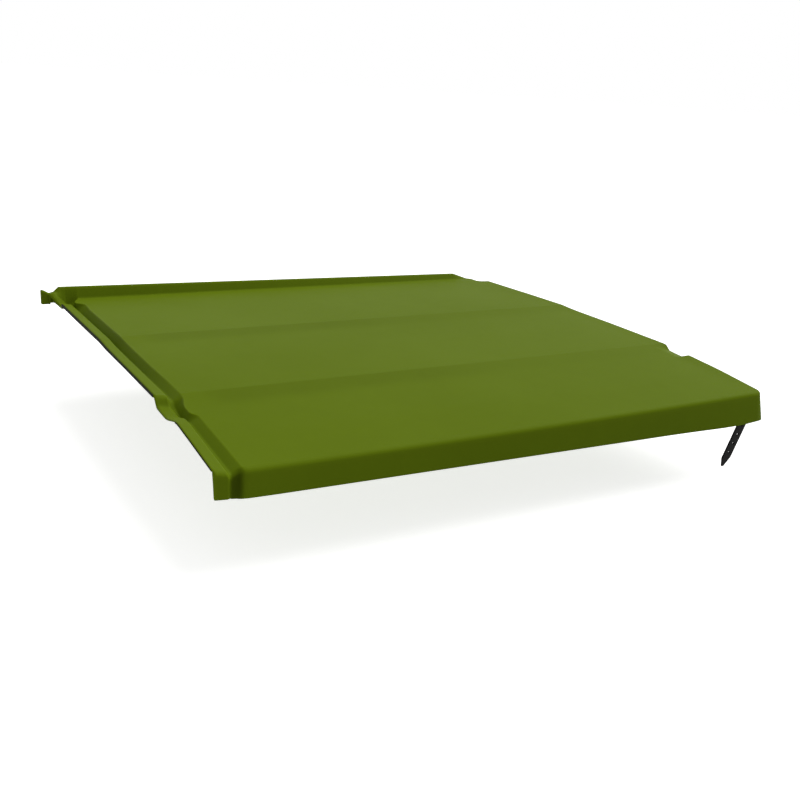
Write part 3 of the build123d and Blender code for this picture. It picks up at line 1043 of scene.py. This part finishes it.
    def border(self, across: np.ndarray, along: np.ndarray, column: int, row: int) -> Border:
        """Walk round the L-shaped plan and fan out its convex corners.

        Along a side the reach is the side's outward normal times its radius. At a convex corner it
        turns from one side's reach to the next along a quarter ellipse. Next to the notch the
        reach leans towards the inner corner, by half the distance left to it, so that the
        rounded edges of the two sides meet there.

        Args:
            across: grid lines across.
            along: grid lines along.
            column: the column that bounds the notch.
            row: the row that bounds it.

        Returns:
            The outline, point by point.
        """
        last_row, last_column = len(along) - 1, len(across) - 1
        columns, rows = np.arange(len(across)), np.arange(len(along))
        rail, side, front = self.rail_radius, self.side_radius, self.front_radius
        walk = [
            (Side.FRONT, columns[column:], 0, (0.0, -front)),
            (Side.RIGHT, last_column, rows, (side, 0.0)),
            (Side.BACK, columns[::-1], last_row, (0.0, rail)),
            (Side.WING, 0, rows[row:][::-1], (-rail, 0.0)),
            (Side.WING, columns[: column + 1], row, (0.0, -rail)),
            (Side.LEFT, column, rows[: row + 1][::-1], (-rail, 0.0)),
        ]
        turn = np.linspace(0.0, np.pi / 2, self.fan)[:, None]
        parts = []
        for (label, i, j, reach), (_, _, _, following) in zip(walk, walk[1:] + walk[:1]):
            i, j = np.broadcast_arrays(i, j)
            parts.append((i[1:-1], j[1:-1], np.tile(reach, (len(i) - 2, 1)), label))
            bend = np.cos(turn) * reach + np.sin(turn) * following
            if i[-1] == column and j[-1] == row:
                bend = np.array([[-rail, -rail]])
            if i[-1] == last_column:
                bend = bend[[self.fan // 2]]
            parts.append((np.full(len(bend), i[-1]), np.full(len(bend), j[-1]), bend, label))
        i, j, reach = (np.concatenate([part[k] for part in parts]) for k in range(3))
        label = np.concatenate([np.full(len(part[0]), int(part[3])) for part in parts])
        on_lip = (label == Side.LEFT) & (j < row) & (reach[:, 1] == 0)
        lean = rail * np.clip((along[j] - along[row]) / (2 * rail) + 1, 0.0, 1.0)
        reach[:, 1] = np.where(on_lip, -lean, reach[:, 1])
        on_wing = (label == Side.WING) & (j == row) & (i < column) & (reach[:, 0] == 0)
        inner = across[column] - self.flare
        lean = rail * np.clip((across[i] - inner) / (2 * rail) + 1, 0.0, 1.0)
        reach[:, 0] = np.where(on_wing, -lean, reach[:, 0])
        for _, way, end, u, v in self.corners(across[i], along[j]):
            outward = side * u * np.sqrt(1 - v * v / 2), way * end * v * np.sqrt(1 - u * u / 2)
            reach = np.where(((u > 0) & (v > 0))[:, None], np.stack(outward, -1), reach)
        return Border(i, j, reach, label)

    def rings(
        self,
        edge: Border,
        plain: np.ndarray,
        base: np.ndarray,
        heights: np.ndarray,
        slope: np.ndarray,
    ) -> np.ndarray:
        """Rings of points round the edge, from the top over the lower rim to the underside.

        From the plan's edge the outer surface turns down along a quarter circle and runs to the
        lower rim with a little draft, and the inner surface does the same one thickness inside
        it. The rim between them has two small bevels.

        Args:
            edge: the outline, point by point.
            plain: (n, 2) places of its points on the straight grid.
            base: (n, 2) their places in the bent plan.
            heights: (2, n) heights of the top and of the underside there.
            slope: (n, 2) the top's slopes across and along.

        Returns:
            A (rings, n, 3) array.
        """
        x, s = base.T
        top, under = heights
        radius = np.hypot(edge.reach[:, 0], edge.reach[:, 1])
        outward = edge.reach / radius[:, None]
        on_rail = (edge.side == Side.LEFT) & (s > self.front_radius) & (s < self.rail_flat_end)
        drop = np.where(on_rail, self.rail_flatness * radius, radius)
        run = slope[:, 0] * outward[:, 0] + slope[:, 1] * outward[:, 1]
        run = np.clip(run, -self.steepest_edge, self.steepest_edge)
        splay = plain - np.stack(self.soften(*plain.T), -1)
        at_corner = (1 - ease(x, -HALF_WIDTH, self.tuck_end)) * (1 - ease(s, *self.tuck_fade))
        draft = self.draft * ease(x, -HALF_WIDTH, self.draft_end) - self.tuck * at_corner
        draft = draft + self.front_lean * ease(x, *self.front_lean_span) * (edge.side == Side.FRONT)
        draft = np.where(edge.side == Side.RIGHT, self.side_draft, draft)
        out_x, out_s = (base + edge.reach).T
        rims = [self.rim_height(out_x, out_s, top, side) for side in Side]
        rim = np.choose(edge.side, rims)

        def ring(sideways: np.ndarray, height: np.ndarray, spread: float = 0.0) -> np.ndarray:
            """One ring, moved outwards from the plan's edge and spread at the corners."""
            place = base + (outward * sideways[:, None] + splay * spread)
            return np.column_stack([place[:, 0], place[:, 1] - LENGTH / 2, height])

        def wall(inset: float, first: np.ndarray) -> list[np.ndarray]:
            """One face of the edge, from the plan's edge down to just above the rim.

            Args:
                inset: how far it lies inside the outer face.
                first: heights of the sheet where it starts.

            Returns:
                Its rings.
            """
            reach = radius - inset
            faces = []
            for turn in np.radians(np.linspace(0.0, 90.0, self.edge_turns + 1)[1:]):
                sideways = reach * np.sin(turn)
                fall = (drop - inset) * (1 - np.cos(turn))
                faces.append(ring(sideways, first + run * sideways - fall))
            shoulder = faces[-1][:, 2]
            foot = np.minimum(rim + self.rim_round, shoulder - self.least_wall)
            depth = np.clip((shoulder - foot) / self.draft_depth, 0.0, 1.0)
            for share in self.wall_shares:
                height = shoulder + (foot - shoulder) * share
                faces.append(ring(reach + draft * share * depth, height, self.corner_splay * share))
            return faces

        outer, inner = wall(0.0, top), wall(SHEET, under)
        fall = outer[self.edge_turns - 1][:, 2] - outer[-1][:, 2]
        outside = radius + draft * np.clip(fall / self.draft_depth, 0.0, 1.0)
        inside = outside - SHEET
        low = outer[-1][:, 2] - self.rim_round
        bevel = self.bevel * self.rim_round
        tips = [
            ring(outside - bevel, low + bevel, self.corner_splay),
            ring(outside - self.rim_round, low, self.corner_splay),
            ring(inside + self.rim_round, low, self.corner_splay),
            ring(inside + bevel, low + bevel, self.corner_splay),
        ]
        inner[-1][:, 2] = outer[-1][:, 2]
        return np.array(outer + tips + inner[::-1])

    @staticmethod
    def stitch(rows: int, columns: int, notch: tuple[int, int], loops: np.ndarray) -> np.ndarray:
        """Faces of the closed sheet, on points numbered top grid, underside grid, then rings.

        Args:
            rows: number of grid lines along.
            columns: number of grid lines across.
            notch: the column and the row that bound the notch.
            loops: point numbers of the edge's rings, from the top grid to the underside grid.

        Returns:
            Quads that face outwards.
        """
        column, row = np.arange(columns - 1), np.arange(rows - 1)[:, None]
        inside = (column >= notch[0]) | (row >= notch[1])
        sheet = weave_faces(rows, columns)[inside.ravel()]
        ahead = np.roll(loops, -1, axis=1)
        skirts = np.stack([loops[:-1], loops[1:], ahead[1:], ahead[:-1]], -1).reshape(-1, 4)
        return np.concatenate([sheet[:, [0, 3, 2, 1]], sheet + rows * columns, skirts])

    def tones(
        self, edge: Border, x: np.ndarray, painted_shade: np.ndarray, bend: np.ndarray, rings: int
    ) -> dict[str, np.ndarray]:
        """Marks that the finish reads: rubbed crests, and painted shade at creases, flute and
        skirt.

        Both are 0 underneath. Painted shade on the top fades down the rings into painted shade on
        the front skirt and in its flute.

        Args:
            edge: the outline, point by point.
            x: places of its points across the straight grid.
            painted_shade: painted shade over the grid, before each crease.
            bend: how sharply the top bends over the grid.
            rings: number of rings of the edge.

        Returns:
            A value for every point, by mark.
        """
        crest = np.clip(bend * self.crest_gain, 0.0, 1.0).ravel()
        rounding = np.zeros(rings)
        rounding[: len(self.crest_rings)] = self.crest_rings
        depth = np.clip(np.arange(rings) / self.shade_rings, 0.0, 1.0)[:, None]
        # painted shade in the flute and on the front skirt
        shade = (self.trough(x, self.flute_shade) + self.front_shade) * (edge.side == Side.FRONT)
        sides = painted_shade[edge.row, edge.column] * (1 - depth) + shade * depth
        plain = np.zeros(crest.size)
        return {
            "crest": np.concatenate([crest, plain, np.repeat(rounding, len(x))]),
            "painted_shade": np.concatenate([painted_shade.ravel(), plain, sides.ravel()]),
        }

    def build(self) -> bpy.types.Object:
        """Build the closed sheet.

        The top is a height over the grid. Its underside is the same height less the sheet's
        thickness times the square root of 1 + slope squared.

        Returns:
            The sheet.
        """
        across, along, column, row = self.lines()
        grid_x, grid_s = np.meshgrid(across, along)
        plan_x, plan_s = self.warp(grid_x, grid_s)
        top = self.height(grid_x, plan_s)
        slope_s, slope_x = np.gradient(top, along, across)
        steep = np.minimum(np.sqrt(1 + slope_s**2 + slope_x**2), self.steepest)
        under = top - SHEET * steep
        bend = -np.gradient(slope_x, across, axis=1) - np.gradient(slope_s, along, axis=0)

        edge = self.border(across, along, column, row)
        at = (edge.row, edge.column)
        rings = self.rings(
            edge,
            np.stack([across[edge.column], along[edge.row]], -1),
            np.stack([plan_x[at], plan_s[at]], -1),
            np.stack([top[at], under[at]]),
            np.stack([slope_x[at], slope_s[at]], -1),
        )
        faces = [np.stack([plan_x, plan_s - LENGTH / 2, height], -1) for height in (top, under)]
        points = np.concatenate([part.reshape(-1, 3) for part in (*faces, rings)])
        loop = edge.row * len(across) + edge.column
        numbers = 2 * top.size + np.arange(rings[..., 0].size).reshape(len(rings), -1)
        loops = np.vstack([loop, numbers, loop + top.size])
        quads = self.stitch(len(along), len(across), (column, row), loops)

        used, renumbered = np.unique(quads, return_inverse=True)
        marks = self.tones(edge, across[edge.column], self.painted_shade(grid_x, plan_s), bend, len(rings))
        marks = {label: values[used] for label, values in marks.items()}
        piece = make_piece(self.name, points[used], renumbered.reshape(-1, 4), marks)
        log.info("%s: %d points, %d faces", self.name, len(used), len(piece.data.polygons))
        return piece

    def dress(self, piece: bpy.types.Object, material: bpy.types.Material) -> None:
        """Give the sheet its finish, and stand it in for the frame's plain one.

        Args:
            piece: the built sheet.
            material: its finish.
        """
        piece.data.materials.append(material)
        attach(piece, Body.COVER.value)
        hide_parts("cover_shell")


# ---- rubber pieces ----


@dataclass
class LipTrim:
    """A rubber channel pushed over the lower rim of the left lip."""

    name: str
    node: str
    start: float
    end: float
    outer_cover: float
    inner_cover: float
    bare: float = 1.4
    wall: float = 1.0
    fit: float = 0.1
    floor: float = 0.7
    corner: float = 0.45
    step: float = 4.0

    def build(self, panel: CoverPanel) -> bpy.types.Object:
        """Sweep the channel's outline along the rim.

        The outline is a U in distance outwards from the lip's outer face and height over its
        rim. Its outer half, read forwards, and its inner half, read backwards, pair up to close
        the two ends.

        Args:
            panel: the sheet whose rim it follows.

        Returns:
            The trim.
        """
        low, gap = -self.fit - self.floor, -SHEET - self.fit
        outline = [
            (self.fit + self.wall, self.outer_cover),
            (self.fit + self.wall, low),
            (gap - self.wall, low),
            (gap - self.wall, self.inner_cover),
            (gap, self.inner_cover),
            (gap, -self.fit),
            (self.fit, -self.fit),
            (self.fit, self.outer_cover),
        ]
        outline = round_outline(np.array(outline), self.corner)
        places = spaced((self.start, self.end), (self.step,))
        rim = panel.lip_rim(places)
        points = np.empty((len(places), len(outline), 3))
        points[..., 0] = -HALF_WIDTH - outline[:, 0]
        points[..., 1] = (places - LENGTH / 2)[:, None]
        leg = (outline[:, 0] > 0) & (outline[:, 1] > 0)
        cover = np.minimum(panel.lip_depth(places) - self.bare, self.outer_cover) / self.outer_cover
        points[..., 2] = rim[:, None] + outline[:, 1] * np.where(leg, cover[:, None], 1.0)
        size = len(outline)
        pair = np.arange(size // 2 - 1)
        cap = np.stack([pair, pair + 1, size - 2 - pair, size - 1 - pair], -1)
        sides = weave_faces(len(places), size, closed=True)
        quads = np.concatenate([sides, cap, cap + size * (len(places) - 1)])
        piece = make_piece(self.name, points.reshape(-1, 3), quads, settle=True)
        log.info("%s: %d faces", self.name, len(piece.data.polygons))
        return piece

    def dress(self, piece: bpy.types.Object, material: bpy.types.Material) -> None:
        """Give the trim its rubber, and let it ride on the cover.

        Args:
            piece: the built trim.
            material: its finish.
        """
        piece.data.materials.append(material)
        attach(piece, Body.COVER.value)
        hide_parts(self.node)


@dataclass
class TieStrap:
    """A moulded strap: an eye round its pin, a flat band with holes and a pointed tip."""

    name: str
    body: Body
    pin_at: float
    pin_height: float
    inward: int
    middle: float = 654.0
    tilt: float = 16.0
    width: float = 30.0
    thickness: float = 4.0
    length: float = 163.0
    shoulder: float = 137.0
    tip_width: float = 6.0
    first_hole: float = 38.0
    hole_pitch: float = 27.0
    hole_count: int = 4
    hole: float = 7.2
    bore: float = 8.1
    eye: float = 16.1
    eye_edge: float = 0.9
    edge: float = 1.0
    hole_edge: float = 0.7
    shoulder_round: float = 4.0
    root_rise: float = 3.6
    root_span: Span = (5.0, 17.0)
    row_step: float = 1.6
    hole_points: int = 32
    hole_rings: int = 5
    edge_steps: int = 5
    eye_points: int = 60

    def half_width(self, r: np.ndarray) -> np.ndarray:
        """Half the width of the flat, which narrows to the tip.

        Args:
            r: distances from the pin.

        Returns:
            Half widths there, without the rounded edge.
        """
        knots = (0.0, self.shoulder, self.length)
        halves = (self.width / 2, self.width / 2, self.tip_width / 2)
        return rounded_line(r, knots, halves, (self.shoulder_round,)) - self.edge

    def half_thickness(self, r: np.ndarray) -> np.ndarray:
        """Half the thickness, which grows into the eye."""
        return self.thickness / 2 + self.root_rise * (1 - ease(r, *self.root_span))

    def rows(self) -> tuple[np.ndarray, np.ndarray]:
        """Lay out the plain rows.

        Returns:
            Distances from the pin of the rows before the holes, and of those beyond them.
        """
        holes_start = self.first_hole - self.hole_pitch / 2
        holes_end = self.first_hole + (self.hole_count - 0.5) * self.hole_pitch
        near = spaced((self.root_span[0], holes_start), (self.row_step,))
        far = spaced((holes_end, self.length - self.edge), (self.row_step,))
        return near, far

    def columns(self) -> np.ndarray:
        """Places across a hole's square cell from -1 to 1: the tangents of equal angles."""
        return np.tan(np.radians(np.linspace(-45.0, 45.0, self.hole_points // 4 + 1)))

    def rays(self) -> np.ndarray:
        """Unit ways from a hole's middle at equal angles, the first one repeated at the end."""
        angle = np.radians(np.linspace(-180.0, 180.0, self.hole_points + 1))
        return np.stack([np.cos(angle), np.sin(angle)], -1)

    def flat(self) -> tuple[np.ndarray, np.ndarray]:
        """Lay out one flat face.

        Every hole has a square cell: rings grow from the circle to the square by a linear blend
        at equal angles, so the places on shared sides fall at tangents of those angles.

        Returns:
            Places (across, along) and quads.
        """
        ray = self.rays()
        square = ray / np.abs(ray).max(axis=1, keepdims=True)
        square = square * (self.width / 2 - self.edge, self.hole_pitch / 2)
        share = np.linspace(0.0, 1.0, self.hole_rings)[:, None, None]
        cell = ray * (self.hole / 2 + self.hole_edge) * (1 - share) + square * share
        patches = []
        for index in range(self.hole_count):
            centre = (0.0, self.first_hole + index * self.hole_pitch)
            patches.append(((cell + centre).reshape(-1, 2), weave_faces(*cell.shape[:2])))
        columns = self.columns()
        for row in self.rows():
            across = columns * self.half_width(row)[:, None]
            places = np.stack(np.broadcast_arrays(across, row[:, None]), -1)
            patches.append((places.reshape(-1, 2), weave_faces(len(row), len(columns))))
        return weld(patches)

    def outline(self) -> np.ndarray:
        """Walk round the flat: right side, tip, left side and the end in the eye.

        Returns:
            Its (n, 2) outline, in order.
        """
        near, far = self.rows()
        columns = self.columns()
        side = columns * self.hole_pitch / 2
        holes = range(self.hole_count)
        cells = [self.first_hole + index * self.hole_pitch + side for index in holes]
        along = np.unique(np.round(np.concatenate([near, *cells, far]), 6))
        across = columns[1:-1]
        level = np.ones(len(across))
        right = np.stack([self.half_width(along), along], -1)
        tip = np.stack([-across * self.half_width(along[-1:]), level * along[-1]], -1)
        root = np.stack([across * self.half_width(along[:1]), level * along[0]], -1)
        return np.concatenate([right, tip, right[::-1] * (-1, 1), root])

    def rim(
        self, loop: np.ndarray, outward: np.ndarray, radius: float
    ) -> tuple[np.ndarray, np.ndarray]:
        """Rounded edge between the two faces, along a closed loop.

        It is a quarter circle off one face, a flat and a quarter circle onto the other.

        Args:
            loop: (n, 2) places where the faces end.
            outward: (n, 2) unit ways away from the faces.
            radius: radius of the edge.

        Returns:
            Points and quads.
        """
        turn = np.radians(np.linspace(0.0, 90.0, self.edge_steps))[:, None]
        half = self.half_thickness(loop[:, 1])
        sideways = np.broadcast_to(radius * np.sin(turn), (self.edge_steps, len(loop)))
        height = half - radius * (1 - np.cos(turn))
        sideways = np.concatenate([sideways, sideways[::-1]])[..., None]
        height = np.concatenate([height, -height[::-1]])[..., None]
        points = np.concatenate([loop + outward * sideways, height], -1)
        return points.reshape(-1, 3), weave_faces(2 * self.edge_steps, len(loop), closed=True)

    def ring_eye(self) -> tuple[np.ndarray, np.ndarray]:
        """Moulded eye: a rounded oblong between bore and outside, carried round the pin.

        Returns:
            Points and quads.
        """
        section = np.array([(-1.0, self.bore), (1.0, self.bore), (1.0, self.eye), (-1.0, self.eye)])
        section = round_outline(section * (self.width / 2, 0.5), self.eye_edge, 4)
        turns = self.eye_points + 1
        around = np.radians(np.linspace(0.0, 360.0, turns))[:, None]
        across = np.broadcast_to(section[:, 0], (turns, len(section)))
        reach = section[:, 1]
        points = np.stack([across, reach * np.cos(around), reach * np.sin(around)], -1)
        return points.reshape(-1, 3), weave_faces(turns, len(section), closed=True)

    def build(self) -> bpy.types.Object:
        """Build band and eye, and turn them into place about the pin.

        Returns:
            The strap.
        """
        places, quads = self.flat()
        height = self.half_thickness(places[:, 1])[:, None]
        patches = [(np.hstack([places, side * height]), quads) for side in (1, -1)]
        loop = self.outline()
        tangent = np.roll(loop, -1, axis=0) - np.roll(loop, 1, axis=0)
        normal = np.stack([tangent[:, 1], -tangent[:, 0]], -1)
        normal = normal / np.linalg.norm(tangent, axis=1, keepdims=True)
        patches.append(self.rim(loop, normal, self.edge))
        ray = self.rays()[:-1]
        for index in range(self.hole_count):
            centre = (0.0, self.first_hole + index * self.hole_pitch)
            circle = ray * (self.hole / 2 + self.hole_edge) + centre
            patches.append(self.rim(circle, -ray, self.hole_edge))
        patches.append(self.ring_eye())
        points, quads = weld(patches)
        lean = np.radians(self.tilt)
        ways = np.array([
            [1.0, 0.0, 0.0],
            [0.0, self.inward * np.sin(lean), -np.cos(lean)],
            [0.0, np.cos(lean), self.inward * np.sin(lean)],
        ])
        pin = np.array([self.middle, self.pin_at - LENGTH / 2, self.pin_height])
        placed = pin + points[:, :1] * ways[0] + points[:, 1:2] * ways[1] + points[:, 2:] * ways[2]
        piece = make_piece(self.name, placed, quads, settle=True)
        log.info("%s: %d faces", self.name, len(piece.data.polygons))
        return piece

    def dress(self, piece: bpy.types.Object, material: bpy.types.Material) -> None:
        """Give the strap its rubber, and let it swing with its body.

        Args:
            piece: the built strap.
            material: its finish.
        """
        piece.data.materials.append(material)
        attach(piece, self.body.value)
        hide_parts(self.body.value)


TRIMS = (
    LipTrim(
        "front_lip_trim",
        "left_front_trim",
        start=12.0,
        end=204.0,
        outer_cover=2.4,
        inner_cover=0.6,
        wall=0.6,
        floor=0.4,
        corner=0.25,
    ),
    LipTrim(
        "rear_lip_trim",
        "left_rear_trim",
        start=338.0,
        end=1134.0,
        outer_cover=7.6,
        inner_cover=2.0,
        bare=0.6,
    ),
)
STRAPS = (
    TieStrap("front_tie_strap", Body.FRONT_STRAP, pin_at=14.0, pin_height=-62.0, inward=1),
    TieStrap("rear_tie_strap", Body.REAR_STRAP, pin_at=1196.0, pin_height=-23.5, inward=-1),
)


# ---- pieces that keep their frame shape ----


def dress_nodes(frame: Mapping[str, Any], materials: Mapping[Slot, bpy.types.Material]) -> None:
    """Give every node of the frame the finish of its record slot.

    Args:
        materials: finished materials by slot.
    """
    for part in frame["record"]["subparts"]:
        node = frame["nodes"][part["node"]]
        material = materials[Slot(part["material_slot"])]
        for place in node.material_slots:
            place.material = material
        if not node.material_slots:
            node.data.materials.append(material)
        log.info("%s: %s", node.name, material.name)


# ---- view, light and floor ----


@dataclass(frozen=True)
class View:
    """A camera that looks at the cover from its front left."""

    azimuth: float = -31.6219
    elevation: float = 18.0384
    roll: float = 3.8896
    distance: float = 2450.42
    aside: float = 27.07
    raised: float = -139.28
    focal_share: float = 1.21185875
    sensor: float = 36.0
    sight: float = 500.0

    def build(self) -> bpy.types.Object:
        """Make the camera and make it the scene's.

        Its back vector is (sin a cos e, -cos a cos e, sin e). The right and up vectors are level
        ones turned by the roll, and the place is back, right and up times the three distances.

        Returns:
            The camera.
        """
        turn, lift, roll = np.radians([self.azimuth, self.elevation, self.roll])
        back = np.array([np.sin(turn) * np.cos(lift), -np.cos(turn) * np.cos(lift), np.sin(lift)])
        level = np.cross(-back, [0.0, 0.0, 1.0])
        level /= np.linalg.norm(level)
        rise = np.cross(level, -back)
        right = np.cos(roll) * level + np.sin(roll) * rise
        up = -np.sin(roll) * level + np.cos(roll) * rise
        place = (back * self.distance + right * self.aside + up * self.raised) * MM
        lens = bpy.data.cameras.new("view")
        lens.sensor_width = self.sensor
        lens.lens = self.focal_share * lens.sensor_width
        lens.clip_end = self.sight
        camera = bpy.data.objects.new("view", lens)
        matrix = np.eye(4)
        matrix[:3] = np.stack([right, up, back, place], axis=1)
        camera.matrix_world = Matrix(matrix.tolist())
        bpy.context.scene.collection.objects.link(camera)
        bpy.context.scene.camera = camera
        return camera


@dataclass(frozen=True)
class Studio:
    """A wide pale floor under an even sky, with one broad lamp from the upper right."""

    sky: float = 0.33
    lamp: float = 2.33
    lamp_from: tuple[float, float, float] = (0.56, 0.10, 0.82)
    lamp_width: float = 60.0
    floor_height: float = -222.0
    floor_reach: float = 120000.0
    bounce: float = 0.50
    glow: float = 0.75
    pale: float = 0.85

    def build(self) -> None:
        """Build sky, lamp and floor."""
        self.build_sky()
        self.build_lamp()
        self.build_floor()

    def build_sky(self) -> None:
        """Grey light from all round, which the camera and mirrors see as white."""
        board = Board("sky", world=True)
        seen = [
            board.node("ShaderNodeLightPath", output=ray)
            for ray in ("Is Camera Ray", "Is Glossy Ray", "Is Transmission Ray")
        ]
        share = board.node("ShaderNodeClamp", None, {0: seen[0] + seen[1] + seen[2]})
        level = share * (1 - self.sky) + self.sky
        light = board.node("ShaderNodeBackground", None, {0: (1.0,) * 4, 1: level})
        bpy.context.scene.world = board.close(light)

    def build_lamp(self) -> None:
        """A distant lamp, wide enough to leave only soft shadows."""
        lamp = bpy.data.lights.new("broad_lamp", "SUN")
        lamp.energy = self.lamp
        lamp.angle = float(np.radians(self.lamp_width))
        holder = bpy.data.objects.new("broad_lamp", lamp)
        holder.rotation_euler = Vector(self.lamp_from).to_track_quat("Z", "Y").to_euler()
        bpy.context.scene.collection.objects.link(holder)

    def build_floor(self) -> None:
        """A level sheet, pale to the eye with the cover's shadow, and duller to bounced light."""
        reach, height = self.floor_reach, self.floor_height
        corners = np.array([[-1, -1], [1, -1], [1, 1], [-1, 1]]) * reach
        points = np.column_stack([corners, np.full(4, height)])
        floor = make_piece("floor", points, np.array([[0, 1, 2, 3]]))
        board = Board("pale_floor")
        path = board.node("ShaderNodeLightPath", output="Is Diffuse Ray")
        grey = (1.0, 1.0, 1.0)
        dull = board.node("ShaderNodeBsdfDiffuse", None, {"Color": tint(grey, self.bounce)})
        pale = board.node("ShaderNodeBsdfDiffuse", None, {"Color": tint(grey, self.pale)})
        glow = board.node("ShaderNodeEmission", None, {"Color": tint(grey, self.glow)})
        lit = board.node("ShaderNodeAddShader", None, {0: pale, 1: glow})
        seen = board.node("ShaderNodeMixShader", None, {0: path, 1: lit, 2: dull})
        floor.data.materials.append(board.close(seen))


def main() -> None:
    """Build the cover's pieces in order, then the studio and the view."""
    logging.basicConfig(level=logging.INFO, format="%(name)s: %(message)s")
    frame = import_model()
    bpy.context.scene.view_settings.view_transform = "Standard"
    materials = {Slot(finish.name): finish.build() for finish in FINISHES}
    dress_nodes(frame, materials)
    panel = CoverPanel()
    panel.dress(panel.build(), materials[Slot.GREEN_PLASTIC])
    for trim in TRIMS:
        trim.dress(trim.build(panel), materials[Slot.SEAL_RUBBER])
    for strap in STRAPS:
        strap.dress(strap.build(), materials[Slot.STRAP_RUBBER])
    Studio().build()
    View().build()


if __name__ == "__main__":
    main()
